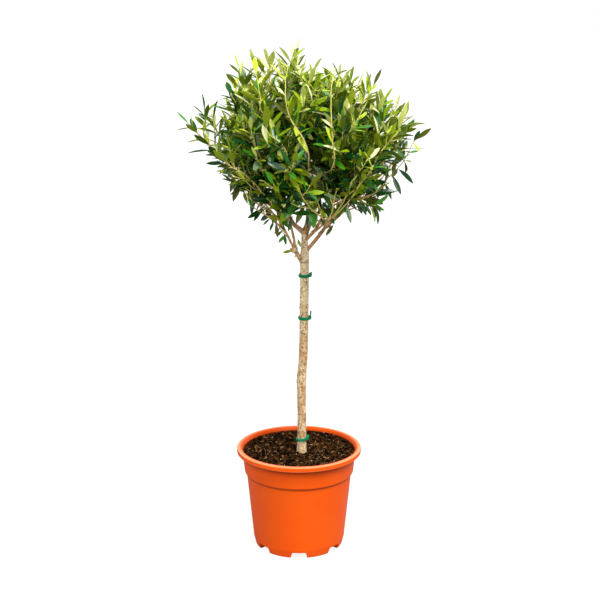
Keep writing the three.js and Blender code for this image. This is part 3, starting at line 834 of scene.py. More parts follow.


# The pot's painted light: between which radii in metres its lip begins, and by shares of its height,
# where a highlight is painted along the lip and how much painted shade lies on the wall
LIP_BEGINS = (0.0985, 0.1025)
RUBBED_TOP = (0.989, 0.998)
RUBBED_FOOT = (0.957, 0.961)
DUST = [
    (0.722, 0), (0.736, 0.55), (0.752, 0.55), (0.762, 0), (0.858, 0), (0.884, 0.14), (0.903, 0.36),
    (0.923, 0.72), (0.938, 1), (0.962, 1), (0.968, 0.42), (0.985, 0.26), (0.993, 0),
]


def pot_marks(tree, pattern):
    """Where a pale highlight is painted on the pot, along the lip's top and foot, and where painted shade
    darkens it: under the lip and in the collar's step. All are bands of height, read as a share of the
    pot's own."""
    place = node(tree, "ShaderNodeTexCoord").outputs["Object"]
    parts = node(tree, "ShaderNodeSeparateXYZ", place)
    height = combined(tree, "DIVIDE", parts.outputs["Z"], POT_HEIGHT * MM)
    flat = node(tree, "ShaderNodeVectorMath", place, (1, 1, 0), operation="MULTIPLY")
    radius = node(tree, "ShaderNodeVectorMath", flat.outputs[0], operation="LENGTH").outputs["Value"]
    # painted highlight along the lip's top and its lower edge, where the light catches it
    top = ranged(tree, height, *RUBBED_TOP, 0, 0.85)
    foot = ranged(tree, height, *RUBBED_FOOT, 0.3, 0)
    rubbed = combined(tree, "MAXIMUM", top, foot)
    # painted shade, in bands of height on the wall inside the lip's radius: in the collar's step and under
    # the lip
    band = ramp(tree, height, [(level, (dust, dust, dust, 1)) for level, dust in DUST])
    dusty = node(tree, "ShaderNodeSeparateColor", band).outputs[0]
    feed(
        tree, pattern, Edges=combined(tree, "MULTIPLY", rubbed, ranged(tree, radius, *LIP_BEGINS)),
        Creases=combined(tree, "MULTIPLY", dusty, ranged(tree, radius, *LIP_BEGINS, 1, 0)),
    )


def bark_material(name, pale, tan, ochre, dark, specks):
    """Bark of four colours, with more or fewer dark specks."""
    tints = {"Pale": colour(*pale), "Tan": colour(*tan), "Ochre": colour(*ochre), "Dark": colour(*dark)}
    return patterned_material(
        name, BARK, bark_marks, 0.25, (0.7, 0.0005), tints["Pale"], Specks=specks, **tints,
    )


def plastic_material(name, marks, depth, gloss, plain, worn, pale, grime):
    """Moulded plastic with a grain of a depth in metres: plain and cloudy colours, and the colours of its
    painted highlight and painted shade.
    """
    return patterned_material(
        name, MOULDED, marks, 0.16, (0.25, depth), colour(*plain), Gloss=gloss, Color=colour(*plain),
        Worn=colour(*worn), Pale=colour(*pale), Grime=colour(*grime),
    )


def soil_material():
    """Moist compost: near-black peat with brown crumbs, and a few paler ones."""
    made, tree, shader = new_material("compost", Roughness=0.95, Specular_IOR_Level=0.05)
    place = node(tree, "ShaderNodeTexCoord").outputs["Object"]
    lumps = cloud(tree, place, 240, 6, 0.7)
    crumbs = node(tree, "ShaderNodeTexVoronoi", Vector=place, Scale=420, Randomness=1)
    pick = node(tree, "ShaderNodeSeparateColor", crumbs.outputs["Color"]).outputs[0]
    stops = [(0.4, colour(7, 3, 0)), (0.5, colour(30, 17, 4)), (0.62, colour(86, 52, 20))]
    pale = ranged(tree, pick, 0.84, 0.92, 0, 0.6)
    shade = blended(tree, pale, ramp(tree, lumps, stops), colour(112, 74, 34))
    relief = node(tree, "ShaderNodeBump", Strength=0.8, Distance=0.0012, Height=lumps)
    feed(tree, shader, Base_Color=shade, Normal=relief.outputs["Normal"])
    return made


def plain_materials(*rows):
    """One plain colour each, for small things whose colours are dealt out piece by piece. A row is a
    name, the colour's red, green and blue, its roughness and how strongly it shines."""
    return [
        new_material(name, Base_Color=colour(*tint), Roughness=roughness, Specular_IOR_Level=shine)[0]
        for name, tint, roughness, shine in rows
    ]


BARK = bark_group()
MOULDED = moulded_group()
TRUNK_BARK = bark_material(
    "trunk_bark", (255, 236, 192), (190, 146, 98), (184, 126, 60), (96, 46, 8), 1.0,
)
BOUGH_BARK = bark_material(
    "bough_bark", (220, 182, 134), (176, 132, 86), (186, 132, 70), (70, 44, 24), 0.7,
)
# The pot's pale colour is a painted highlight, and its darkest a painted shade
POT_PLASTIC = plastic_material(
    "pot_plastic", pot_marks, 0.00008, 0.4, (250, 90, 6), (253, 100, 14), (255, 178, 122), (112, 30, 2),
)
TIE_PLASTIC = plastic_material(
    "tie_plastic", None, 0.00005, 0.3, (0, 126, 80), (20, 150, 98), (20, 150, 98), (0, 126, 80),
)
COMPOST = soil_material()
CHIP_SHADES = plain_materials(
    ("chip_black", (9, 4, 1), 0.92, 0.05),
    ("chip_dark", (30, 17, 5), 0.92, 0.05),
    ("chip_brown", (84, 50, 20), 0.9, 0.08),
    ("chip_tan", (134, 92, 50), 0.9, 0.08),
)
CHIPS_OF_SHADE = [0.44, 0.26, 0.2, 0.1]
GRAIN_WHITE, SPLINTER = plain_materials(
    ("perlite", (232, 228, 220), 0.8, 0.3),
    ("splinter", (176, 146, 104), 0.85, 0.3),
)

# Leaf colours, from the oldest and deepest to the youngest, whose palest stand partly for painted light
# on the crown's top, with the matching undersides, and a painted grey sheen, a reflection of the white
# air, that few of the old leaves have
LEAF_TOPS = plain_materials(
    ("leaf_deep", (12, 68, 24), 0.23, 0.62),
    ("leaf_dark", (36, 96, 22), 0.25, 0.58),
    ("leaf_olive", (88, 100, 6), 0.34, 0.4),
    ("leaf_green", (68, 150, 26), 0.3, 0.6),
    ("leaf_mid", (130, 160, 8), 0.4, 0.22),
    ("leaf_fresh", (158, 192, 10), 0.42, 0.22),
    ("leaf_light", (200, 220, 56), 0.45, 0.22),
    ("leaf_lime", (228, 236, 120), 0.48, 0.24),
    ("leaf_young", (242, 244, 186), 0.5, 0.26),
)
LEAF_UNDERS = plain_materials(
    ("under_old", (96, 120, 28), 0.7, 0.15),
    ("under_mid", (148, 166, 34), 0.7, 0.15),
    ("under_young", (214, 224, 118), 0.7, 0.2),
)
LEAF_BLOOM = plain_materials(("leaf_bloom", (134, 168, 122), 0.24, 0.6))
OLD_SHADES = 4
BLOOM_KEPT = 0.06
NO_BLOOM = 0.505

# Twig colours from the thickest to the thinnest, and the radii between them
TWIG_SHADES = plain_materials(
    ("twig_bark", (190, 154, 106), 0.85, 0.3),
    ("twig_brown", (212, 168, 98), 0.8, 0.3),
    ("twig_tan", (230, 192, 112), 0.75, 0.3),
    ("twig_straw", (240, 214, 124), 0.7, 0.3),
    ("twig_green", (220, 220, 104), 0.65, 0.3),
)
SHADE_RADII = [0.75, 1.05, 1.35, 1.9]
BUD_SHADES = plain_materials(
    ("bud_cream", (246, 240, 176), 0.6, 0.3),
    ("bud_green", (216, 222, 108), 0.6, 0.3),
)


# Camera, floor and light


def make_camera():
    """The camera at the photograph's viewing angle."""
    data = bpy.data.cameras.new("camera")
    data.lens = LENS
    data.sensor_width = SENSOR
    data.clip_start = 0.05
    data.clip_end = 50
    camera = in_scene("camera", data)
    camera.location = [value * MM for value in CAMERA_PLACE]
    camera.rotation_euler = (math.radians(90 - CAMERA_DOWN), 0, 0)
    bpy.context.scene.camera = camera


def make_lamp(name, azimuth, height, wide, strength):
    """A lamp far away and wide, so that its light is soft and even."""
    data = bpy.data.lights.new(name, "SUN")
    data.angle = math.radians(wide)
    data.energy = strength
    in_scene(name, data).rotation_euler = (0, math.radians(90 - height), math.radians(azimuth))


def floor_material():
    """Pale floor: near white to the camera, with a soft shade under the pot, and a mid grey in the
    light that it throws back, so that the underside of the crown keeps its shade."""
    made, tree, shader = new_material("studio_floor", Roughness=0.95, Specular_IOR_Level=0.0)
    seen = node(tree, "ShaderNodeLightPath").outputs["Is Camera Ray"]
    glow = blended(tree, seen, (0, 0, 0, 1), (1, 1, 1, 1))
    feed(tree, shader, Base_Color=blended(tree, seen, FLOOR_THROWN, FLOOR_SEEN), Emission_Color=glow)
    feed(tree, shader, Emission_Strength=FLOOR_GLOW)
    return made


def make_studio():
    """A wide pale floor, white air that is brighter behind the plant, and three large soft lamps at
    the front. The air's light rises evenly from the middle to the back."""
    corners = FLOOR_HALF * np.array([[-1, -1, 0], [1, -1, 0], [1, 1, 0], [-1, 1, 0]], float)
    floor = piece("floor", (corners, np.array([[0, 1, 2, 3]])), [floor_material()], smooth=False)
    world = bpy.data.worlds.new("studio_air")
    world.use_nodes = True
    tree = world.node_tree
    seen = node(tree, "ShaderNodeLightPath").outputs["Is Camera Ray"]
    way = node(tree, "ShaderNodeSeparateXYZ", node(tree, "ShaderNodeTexCoord").outputs["Generated"])
    light = ranged(tree, way.outputs["Y"], 0.0, 0.85, AIR_LIGHT, AIR_LIGHT + BACK_LIGHT)
    strength = ranged(tree, seen, 0, 1, light, 1)
    feed(tree, tree.nodes["Background"], Color=(1, 1, 1, 1), Strength=strength)
    bpy.context.scene.world = world
    for name, facts in LAMPS.items():
        make_lamp(name, *facts)
    bpy.context.scene.view_settings.view_transform = "Standard"


# Pot


def pot_outside():
    """The outside: foot, body, step, collar and turned-down rim, each corner with its own arc."""
    corners = [
        (0, 0), (FOOT_RADIUS, 0), (BODY_FOOT_RADIUS - FOOT_STEP - 0.2, BODY_FOOT_Z - 1.4),
        (BODY_FOOT_RADIUS - FOOT_STEP, BODY_FOOT_Z - 0.3), (BODY_FOOT_RADIUS, BODY_FOOT_Z + 0.5),
        (BODY_TOP_RADIUS, COLLAR_FOOT_Z - STEP_DROP), (COLLAR_FOOT_RADIUS, COLLAR_FOOT_Z),
        (COLLAR_TOP_RADIUS, POT_HEIGHT - 2 * WALL), (RIM_RADIUS - WALL, POT_HEIGHT - 2 * WALL),
        (RIM_RADIUS - WALL, POT_HEIGHT - RIM_DROP), (RIM_RADIUS, POT_HEIGHT - RIM_DROP),
        (RIM_RADIUS, POT_HEIGHT), (RIM_INNER_RADIUS, POT_HEIGHT), (0, POT_HEIGHT),
    ]
    return rounded(corners, [2.4, 3.0, 0.4, 0.4, 1.2, 1.6, 1.0, 0.8, 0.4, 0.7, 1.8, 0])


def pot_inside(inset):
    """The inside, from the floor's middle up to the mouth and above it."""
    corners = [
        (0, FLOOR_THICKNESS), (FOOT_RADIUS - inset, FLOOR_THICKNESS),
        (BODY_FOOT_RADIUS - inset, BODY_FOOT_Z), (BODY_TOP_RADIUS - inset, COLLAR_FOOT_Z - STEP_DROP),
        (COLLAR_FOOT_RADIUS - inset, COLLAR_FOOT_Z), (COLLAR_TOP_RADIUS - inset, POT_HEIGHT - 3 * WALL),
        (RIM_INNER_RADIUS, POT_HEIGHT), (RIM_INNER_RADIUS, POT_HEIGHT + 1), (0, POT_HEIGHT + 1),
    ]
    return rounded(corners, [1.5, 2.0, 1.2, 1.6, 2.6, 1.0, 0])


def channel_shell(turn, grown):
    """One drainage channel: a bar that runs out under the floor, with its upper edges rounded. Its
    section is carried straight from inside the foot to past its edge."""
    half, high = CHANNEL_WIDTH / 2 + grown, CHANNEL_HEIGHT + grown
    top = half - CHANNEL_DRAFT
    section = rounded([(0, -1), (half + 0.5, -1), (top, high), (0, high)], [0, CHANNEL_ROUND])[1:]
    section = np.vstack([section, section[::-1] * [-1, 1]])
    keep = np.append(np.linalg.norm(np.diff(section, axis=0), axis=1) > 1e-6, True)
    section = section[keep]
    ends = [CHANNEL_INNER_RADIUS - grown, FOOT_RADIUS + CHANNEL_PAST_FOOT]
    rings = np.stack([
        np.stack([section[:, 0], np.full(len(section), -end), section[:, 1]], axis=-1) for end in ends
    ])
    c, s = math.cos(turn), math.sin(turn)
    return closed_rings(rings @ np.array([[c, s, 0], [-s, c, 0], [0, 0, 1]]))


def cut(made, cutter):
    """Takes a cutter away from a piece, and removes the cutter."""
    modifier = made.modifiers.new("cut", "BOOLEAN")
    modifier.operation = "DIFFERENCE"
    modifier.solver = "EXACT"
    modifier.use_self = False
    modifier.object = cutter
    graph = bpy.context.evaluated_depsgraph_get()
    mesh = bpy.data.meshes.new_from_object(made.evaluated_get(graph))
    made.modifiers.clear()
    made.data = mesh
    bpy.data.objects.remove(cutter)


def make_pot():
    """The pot is its outside less its inside, whose floor is raised over the channels."""
    inside = piece("pot_inside", turned(pot_inside(WALL), POT_SIDES), [POT_PLASTIC])
    for turn in turns(CHANNELS):
        cut(inside, piece("raised", channel_shell(turn, FLOOR_THICKNESS), [POT_PLASTIC]))
    pot = piece("nursery_pot", turned(pot_outside(), POT_SIDES), [POT_PLASTIC])
    cut(pot, inside)
    for turn in turns(CHANNELS):
        cut(pot, piece("channel", channel_shell(turn, 0), [POT_PLASTIC]))
    pot.data.polygons.foreach_set("use_smooth", np.full(len(pot.data.polygons), True))
    pot.data.set_sharp_from_angle(angle=math.radians(38))
    finished(pot, "pot_plastic", "pot")


# Soil


def soil_height(x, y):
    """The crust's height over the flat soil: lumps of three sizes, a low mound round the trunk, a
    rise towards the back, and a dip beside the wall."""
    place = np.stack([x, y, np.zeros_like(x)], axis=-1)
    lumps = 1.2 * noise(place, 17, 1) + 1.7 * noise(place, 7.5, 2) + 1.3 * noise(place, 3.4, 3)
    crumbs = 0.7 * noise(place, 1.7, 4)
    from_mound = (x - MOUND_PLACE[0]) ** 2 + (y - MOUND_PLACE[1]) ** 2
    mound = 0.8 * np.exp(-from_mound / MOUND_WIDTH**2) + 3.0 * smoothstep(y, 0, 75)
    dip = smoothstep(np.hypot(x, y), CRUST_RADIUS - 9, CRUST_RADIUS)
    return np.maximum(2.8 + lumps + crumbs + mound - 1.2 * dip, 0.4)


def make_soil():
    """The crust: a disc of rings whose height is soil_height, closed by a flat underside."""
    turn = turns(CRUST_SECTORS)
    radius = CRUST_RADIUS * np.linspace(0.004, 1, CRUST_RINGS)[:, None]
    x, y = radius * np.cos(turn), radius * np.sin(turn)
    top = np.stack([x, y, SOIL_Z + soil_height(x, y)], axis=-1)[::-1]
    edge = top[0].copy()
    edge[:, 2] = SOIL_Z - 0.6
    low = edge * [0.985, 0.985, 1]
    shell = closed_rings(np.concatenate([low[None], edge[None], top]))
    finished(piece("soil_crust", shell, [COMPOST]), "soil")
    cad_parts["potting_soil"].data.materials.clear()
    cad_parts["potting_soil"].data.materials.append(COMPOST)


def repeated(faces, count, points_each):
    """The faces of one small shell, as those of count such shells whose points are end to end."""
    start = (np.arange(count) * points_each)[:, None, None]
    return np.where(faces[None] < 0, -1, faces[None] + start).reshape(-1, 4)


def pebbles(places, sizes, seed):
    """Small lumps: a ball of four rows of six, its points moved in and out, stretched to its sizes
    and turned at random. Gives their shell, and how many faces each has."""
    draw = np.random.default_rng(seed)
    count = len(places)
    points, faces = closed_rings(ball_rings(6, 4, 0.9))
    rough = points[None] * share(0.72, 1.2, draw.random((count, len(points), 1)))
    shaped = rough * sizes[:, None]
    axis = unit(draw.normal(size=(count, 3)) * [0.5, 0.5, 1])
    angle = draw.random(count)[:, None, None] * 2 * math.pi
    cos, sin = np.cos(angle), np.sin(angle)
    dot = np.einsum("nvk,nk->nv", shaped, axis)[..., None]
    spun = shaped * cos + np.cross(axis[:, None], shaped) * sin + axis[:, None] * dot * (1 - cos)
    placed = (spun + places[:, None]).reshape(-1, 3)
    return (placed, repeated(faces, count, len(points))), len(faces)


def on_soil(count, seed, within):
    """Random places on the crust, clear of the trunk."""
    draw = np.random.default_rng(seed)
    radius = within * np.sqrt(draw.random(count * 2))
    turn = draw.random(count * 2) * 2 * math.pi
    x, y = radius * np.cos(turn), radius * np.sin(turn)
    clear = np.hypot(x - TRUNK_FOOT[0], y - TRUNK_FOOT[1]) > CLEAR_OF_TRUNK
    x, y = x[clear][:count], y[clear][:count]
    return np.stack([x, y, SOIL_Z + soil_height(x, y)], axis=-1)


def splinter(place, draw):
    """A pale splinter: a thin flat tube that is bowed and lies on the crust."""
    turn, length = draw.random() * 2 * math.pi, share(4, 13, draw.random())
    way = np.array([math.cos(turn), math.sin(turn), 0]) * length
    side = np.array([-math.sin(turn), math.cos(turn), 0]) * length * 0.15
    line = bow(place - way / 2 + UP * 0.4, place + side + UP * 1.4, place + way / 2 + UP * 0.4, 6)
    radii = share(0.25, 0.6, draw.random()) * np.array([0.4, 0.9, 1, 1, 0.8, 0.3])
    return closed_rings(tube_rings(line, radii, 5, 0.6))


def make_crumbs():
    """Bark chips and crumbs, white grains and pale splinters, lying on the crust."""
    draw = np.random.default_rng(5)
    places = on_soil(CHIPS, 6, CRUST_RADIUS - 3)
    long = share(0.7, 4.2, draw.random(CHIPS) ** 3.4)
    sizes = np.stack([long, long * share(0.35, 0.8, draw.random(CHIPS)), long * 0.34], axis=-1)
    shell, faces_each = pebbles(places + UP * (0.25 * long[:, None]), sizes, 7)
    shade = draw.choice(len(CHIP_SHADES), CHIPS, p=CHIPS_OF_SHADE)
    chips = piece("soil_chips", shell, CHIP_SHADES, slots=np.repeat(shade, faces_each), smooth=False)
    finished(chips, "soil")
    places = on_soil(GRAINS, 8, CRUST_RADIUS - 3)
    sizes = share(0.3, 0.85, draw.random(GRAINS) ** 1.8)[:, None] * np.ones(3)
    shell, _ = pebbles(places + UP * 0.5, sizes, 9)
    finished(piece("soil_grains", shell, [GRAIN_WHITE]), "soil")
    shells = [splinter(place, draw) for place in on_soil(SPLINTERS, 10, CRUST_RADIUS - 9)]
    finished(piece("soil_splinters", joined(shells), [SPLINTER]), "soil")


# Trunk and boughs


def trunk_radius(z):
    """The shoulder's taper, with a swelling at the foot and a rounder one at the old bend."""
    foot = FOOT_SWELL * np.exp((SOIL_Z + 3 - z) / FOOT_SWELL_LENGTH)
    bend = BEND_SWELL * np.exp(-(((z - BEND_Z) / BEND_LENGTH) ** 2))
    shaft = share(TRUNK_RADIUS, TRUNK_TOP_RADIUS, smoothstep(z, SHOULDER_FROM_Z, SHOULDER_TO_Z))
    return shaft + foot + bend + BARK_OVER


def limb_line(name, count):
    """count places along a limb."""
    return curve_through(LIMBS[name][0], count)


def limb_radii(name, line):
    """A bough tapers evenly from its start to its tip."""
    _, first, last = LIMBS[name]
    if name == "trunk":
        return trunk_radius(line[:, 2])
    return np.linspace(first, last, len(line))


def relief(places, depth):
    """Bark relief: wide lumps, long low ridges that run up the limb, and fine grain."""
    lumps = 0.55 * noise(places, 11, 21)
    ridges = 0.6 * noise(places, (2.6, 2.6, 9), 22) + 0.35 * noise(places, (1.3, 1.3, 4), 23)
    grain = 0.3 * noise(places, 1.1, 24)
    pits = -0.9 * smoothstep(noise(places, (1.6, 1.6, 1.0), 25), 0.45, 0.75)
    return depth * (lumps + ridges + grain + pits)


def outward(rings, line):
    """The direction from a line to each point of the rings round it."""
    return unit(rings - line[:, None])


def off_turn(out, turn):
    """The angle between each direction and a level one that is turned from the right by degrees."""
    level = np.array([math.cos(math.radians(turn)), math.sin(math.radians(turn)), 0])
    return np.arccos(np.clip(out @ level, -1, 1))


def near_turn(out, turn, spread):
    """1 where a direction from the axis is near a turn in degrees, falling to 0 at the spread."""
    return 1 - smoothstep(np.degrees(off_turn(out, turn)), 0.7 * spread, spread)


def scar_relief(z, out):
    """Each old scar: a round swelling with a rimmed hollow in its middle, and then thin cracks. z is
    each place's height, out its direction from the axis. Gives the relief, and how dark it is."""
    total, dark = np.zeros(z.shape), np.zeros(z.shape)
    for scar_z, turn, height, width in SCARS:
        across = off_turn(out, turn) * trunk_radius(scar_z)
        far = np.hypot(across, 1.25 * (z - scar_z)) / width
        hollow = np.exp(-((far / 0.38) ** 2))
        total += height * (np.exp(-(far**2)) - 0.85 * hollow)
        dark = np.maximum(dark, hollow)
    for crack_z, turn, spread in CRACKS:
        crack = np.exp(-(((z - crack_z) / 0.8) ** 2)) * near_turn(out, turn, spread)
        total -= 0.35 * crack
        dark = np.maximum(dark, 0.8 * crack)
    return total, dark


def worn_bark(z, out):
    """Where the trunk's bark is ochre: a rubbed stretch above the bend, and a strip at the right."""
    rubbed = np.exp(-(((z - 346) / 26) ** 2))
    strip = near_turn(out, 322, 46) * smoothstep(z, 372, 392) * (1 - smoothstep(z, 470, 486))
    return np.clip(1.1 * rubbed + 0.9 * strip, 0, 1)


def limb_shell(name, step, sides, depth, collar):
    """A limb: rings round its line, swelled into a collar where it leaves its parent, with bark
    relief, and drawn in to a round end. Gives its shell and its points' marks, which are how scarred
    and how worn the bark is, and how much paler it is painted up the trunk, where the crown shades it."""
    length = np.linalg.norm(np.diff(limb_line(name, 60), axis=0), axis=1).sum()
    line = limb_line(name, int(length / step))
    radii = limb_radii(name, line)
    run = np.linspace(0, length, len(line))
    radii = radii + collar * np.exp(-((run / (2.2 * radii[0])) ** 2))
    ending = np.clip((length - run) / radii[-1], 0, 1)
    radii = radii * np.sqrt(np.clip(1 - (1 - ending) ** 2, 0.0004, 1))
    rings = tube_rings(line, radii, sides)
    out = outward(rings, line)
    bumps = relief(rings, depth)
    marks = np.zeros((*rings.shape[:2], 4))
    if name == "trunk":
        z = rings[..., 2]
        scars, marks[..., 0] = scar_relief(z, out)
        marks[..., 1] = worn_bark(z, out)
        # painted light: the trunk's bark is painted paler upwards, against the crown's shade
        marks[..., 2] = smoothstep(z, 280, 460)
        bumps = bumps + scars
    shell = closed_rings(rings + out * (bumps * np.minimum(1, 2 * ending)[:, None])[..., None])
    return shell, marks.reshape(-1, 4)


def knob(place, sizes, seed):
    """A lumpy knob of wood: a ball stretched to its sizes, its radius moved by noise."""
    ball = ball_rings(28, 18, 0.4)
    grown = 1 + 0.16 * noise(ball * 10, 7, seed) + 0.08 * noise(ball * 10, 3, seed + 1)
    return closed_rings(ball * grown[..., None] * np.array(sizes) + np.array(place))


def stub(start, end, radius, seed):
    """A pruned stub: a short tapering tube whose end is cut flat."""
    line = even_places(np.array([start, end], float), 9)
    taper = radius * np.array([1.35, 1.15, 1.05, 1, 0.98, 0.97, 1, 1, 0.9])
    rings = tube_rings(line, taper, 14)
    return closed_rings(rings + outward(rings, line) * (0.12 * noise(rings, 1.6, seed))[..., None])


# What stands on each limb: pruned knobs and stubs
KNOBS = {
    "bough_right": [
        knob((44.5, -12, 553), (5.2, 4.8, 5.8), 41), stub((45, -13, 553), (53, -17, 550), 2.4, 42),
        stub((31, -10, 534), (33, -15, 542), 1.5, 43), stub((46, -12, 556), (51, -17, 566), 1.7, 52),
    ],
    "bough_low_left": [
        knob((-7.5, -9, 512), (5.4, 5.0, 5.2), 44), stub((-8, -10, 512), (-14.5, -13, 514), 1.9, 45),
        stub((-6, -11, 513), (-3.5, -16, 518), 1.6, 46), stub((-2, -7, 503), (-7, -10, 500), 1.5, 47),
    ],
    "bough_left": [stub((-15, -9, 559), (-20, -13, 556), 1.5, 48)],
    "bough_centre": [stub((15, -2, 563), (19.5, -5, 567), 1.6, 49)],
    "trunk": [stub((9, -7, 478), (13, -12.5, 481), 1.4, 50), stub((8, -6, 414), (2, -10.5, 416), 1.3, 51)],
}


def make_wood():
    """Every limb as a mesh of its own, with what stands on it. The marks are kept as a colour."""
    for name in LIMBS:
        limb, marks = limb_shell(name, *(TRUNK_MAKE if name == "trunk" else BOUGH_MAKE))
        shell = joined([limb, *KNOBS.get(name, [])])
        material = TRUNK_BARK if name in ("trunk", "bough_low_left") else BOUGH_BARK
        made = piece(name + "_wood", shell, [material])
        colours = np.zeros((len(shell[0]), 4), np.float32)
        colours[:len(marks)] = marks
        kept = made.data.attributes.new("bark_marks", "FLOAT_COLOR", "POINT")
        kept.data.foreach_set("color", colours.ravel())
        finished(made, "bark", name)


# Ties


def tie_line(z, tail, tilt):
    """A tie's line: once round the trunk, out over its own start, and up in a tail. Gives the line,
    and where the knot is."""
    lean = math.tan(math.radians(tilt))
    axis = limb_line("trunk", 400)
    middle = axis[np.argmin(np.abs(axis[:, 2] - z))]
    ring = trunk_radius(z) + 0.35 + TIE_THICKNESS / 2
    turn = np.linspace(0, 2 * math.pi, 64)
    r = ring + smoothstep(turn, 2 * math.pi * 0.86, 2 * math.pi) * (TIE_THICKNESS * 0.75)
    loop = np.stack([r * np.cos(turn), r * np.sin(turn), np.zeros_like(turn)], axis=-1)
    loop[:, 2] = lean * loop[:, 0] + 0.35 * np.sin(turn)
    up = np.linspace(0, 1, 9)[1:, None]
    rise = loop[-1] + up**1.3 * [0.9, 0.6, 0] + up * [0, 2.4, tail]
    return np.vstack([loop, rise]) + middle, middle + [ring + 0.7, 1.5, lean * ring]


def tie_shell(z, tail, tilt):
    """A flat tube along a tie's line, whose section is a softened box that narrows in the tail, and a
    short band round both ends, which is the knot."""
    line, place = tie_line(z, tail, tilt)
    along = tangents(line)
    upright = squared(UP, along)
    across = np.cross(along, upright)
    angle = turns(16)
    section = np.stack([np.cos(angle), np.sin(angle)], axis=-1)
    section = np.sign(section) * np.abs(section) ** 0.75
    height = TIE_HEIGHT / 2 * share(1, 0.72, smoothstep(np.arange(len(line)), 60, 70))
    rings = line[:, None] + across[:, None] * (section[:, 0] * (TIE_THICKNESS / 2))[:, None]
    rings = rings + upright[:, None] * (section[:, 1] * height[:, None])[..., None]
    angle = np.linspace(0, 2 * math.pi, 20, endpoint=False)
    high = TIE_HEIGHT / 2 + 0.5
    knot = np.stack([np.cos(angle) * 2.3, np.zeros(20), np.sin(angle) * high], axis=-1)
    band = np.stack([knot * k for k in (1, 1.22, 1.3, 1.22, 1)])
    band[..., 1] = np.array([-1.5, -1.3, 0, 1.3, 1.5])[:, None]
    return joined([closed_rings(rings), closed_rings(band[::-1] + place)])


def make_ties():
    """The three ties, each a piece of its own."""
    for name, facts in TIES.items():
        made = piece(name + "_tube", tie_shell(*facts), [TIE_PLASTIC], sharp_angle=math.radians(50))
        finished(made, "tie_plastic", name)


# The crown's rule


MASS_NAMES = list(MASSES)
MASS_TIPS = np.array([MASSES[name][1] for name in MASS_NAMES], float)
TOWARD = unit(MASS_TIPS - HEART)


def in_space(mass, places, margin):
    """Whether each place is nearer in direction to the mass than to every other, by a margin."""
    across = np.delete(TOWARD[mass] - TOWARD, mass, axis=0)
    far = (places - HEART) @ across.T
    return np.all(far >= margin * np.linalg.norm(across, axis=1), axis=-1)


def crown_reach(angle, turn):
    """How far the crown reaches for an angle from straight up and a turn from the right: the reach
    of front and back, drawn to that of the nearer side by the square of the turn's cosine."""
    middle = np.interp(angle, REACH_ANGLES, MIDDLE_REACH)
    right = np.interp(angle, REACH_ANGLES, RIGHT_REACH)
    left = np.interp(angle, REACH_ANGLES, LEFT_REACH)
    return share(middle, np.where(np.cos(turn) > 0, right, left), np.cos(turn) ** 2)


def reach_share(places):
    """How far out each place is, as a share of the crown's reach in its direction."""
    out = places - HEART
    distance = np.linalg.norm(out, axis=-1)
    angle = np.arccos(np.clip(out[..., 2] / np.maximum(distance, 1e-9), -1, 1))
    return distance / crown_reach(angle, np.arctan2(out[..., 1], out[..., 0]))


def limb_balls():
    """Every limb as a row of balls, to test what would touch it."""
    centres, radii = [], []
    for name in LIMBS:
        line = limb_line(name, 40)
        centres.append(line)
        radii.append(limb_radii(name, line) + LIMB_MARGIN)
    return np.vstack(centres), np.concatenate(radii)


BALL_CENTRES, BALL_RADII = limb_balls()


def clear_of_limbs(places, radius):
    """Whether each place is further than radius from every limb."""
    far = np.linalg.norm(places[..., None, :] - BALL_CENTRES, axis=-1)
    return np.all(far > BALL_RADII + radius, axis=-1)


def lead_line(mass):
    """The leading shoot: it goes on in its bough's line and bows up to its own tip."""
    bough, tip = MASSES[MASS_NAMES[mass]]
    limb = limb_line(bough, 60)
    along = unit(limb[-1] - limb[-3])
    end = np.array(LEAD_ENDS.get(MASS_NAMES[mass], tip), float) - TOWARD[mass] * LAST_LEAF * LEAF_LENGTH
    distance = np.linalg.norm(end - limb[-1])
    start = limb[-1] - 2 * along
    return bow(start, limb[-1] + along * LEAD_BOW * distance, end, int(distance / TWIG_STEP) + 2)


def twig_aims():
    """The aims of all trials: an even sequence that fills the space over the heart out to a share of
    the crown's reach, less what is outside the crown or in its bare middle. Gives the trial numbers,
    directions and distances."""
    trial = np.arange(TWIG_TRIALS)
    even = [(0.5 + (trial + 1) * step) % 1 for step in AIM_STEPS]
    angle = np.arccos(1 - even[1] * (1 - math.cos(LOWEST_AIM)))
    turn = 2 * math.pi * even[2]
    reach = crown_reach(angle, turn) - 0.5 * LEAF_LENGTH
    distance = share(TOP_REACH, reach, AIMS_BY_REACH) * np.cbrt(even[0])
    kept = (distance <= reach) & (distance >= BARE_MIDDLE * reach)
    way = np.stack([np.sin(angle) * np.cos(turn), np.sin(angle) * np.sin(turn), np.cos(angle)], axis=-1)
    return trial[kept], way[kept], distance[kept]


def side_twig(lead, direction, distance):
    """A side twig: it leaves the shoot at the last place that is nearer the heart than the aim by a
    twig's length, and bows from the shoot's direction to the aim. None if too short or too long."""
    aim = HEART + direction * distance
    nearer = max(distance - TWIG_LENGTH, 0.5 * distance)
    fine = even_places(lead, 101)
    t = np.arange(FIRST_TWIG_AT, LAST_TWIG_AT, 0.04)
    at = np.round(t * 100).astype(int)
    before = np.linalg.norm(fine[at] - HEART, axis=1) < nearer
    k = at[np.flatnonzero(before)[-1]] if before.any() else at[0]
    start = fine[k]
    length = np.linalg.norm(aim - start)
    if not SHORTEST_TWIG < length < LONGEST_TWIG:
        return None
    out = share(unit(aim - start), tangents(fine)[k], TWIG_FOLLOWS)
    outward = start + out * TWIG_BOW * length
    below = aim - unit(UP + 0.4 * direction) * TWIG_BOW * length
    return bow(start, share(outward, below, TWIG_RISE), aim, int(length / TWIG_STEP) + 3)


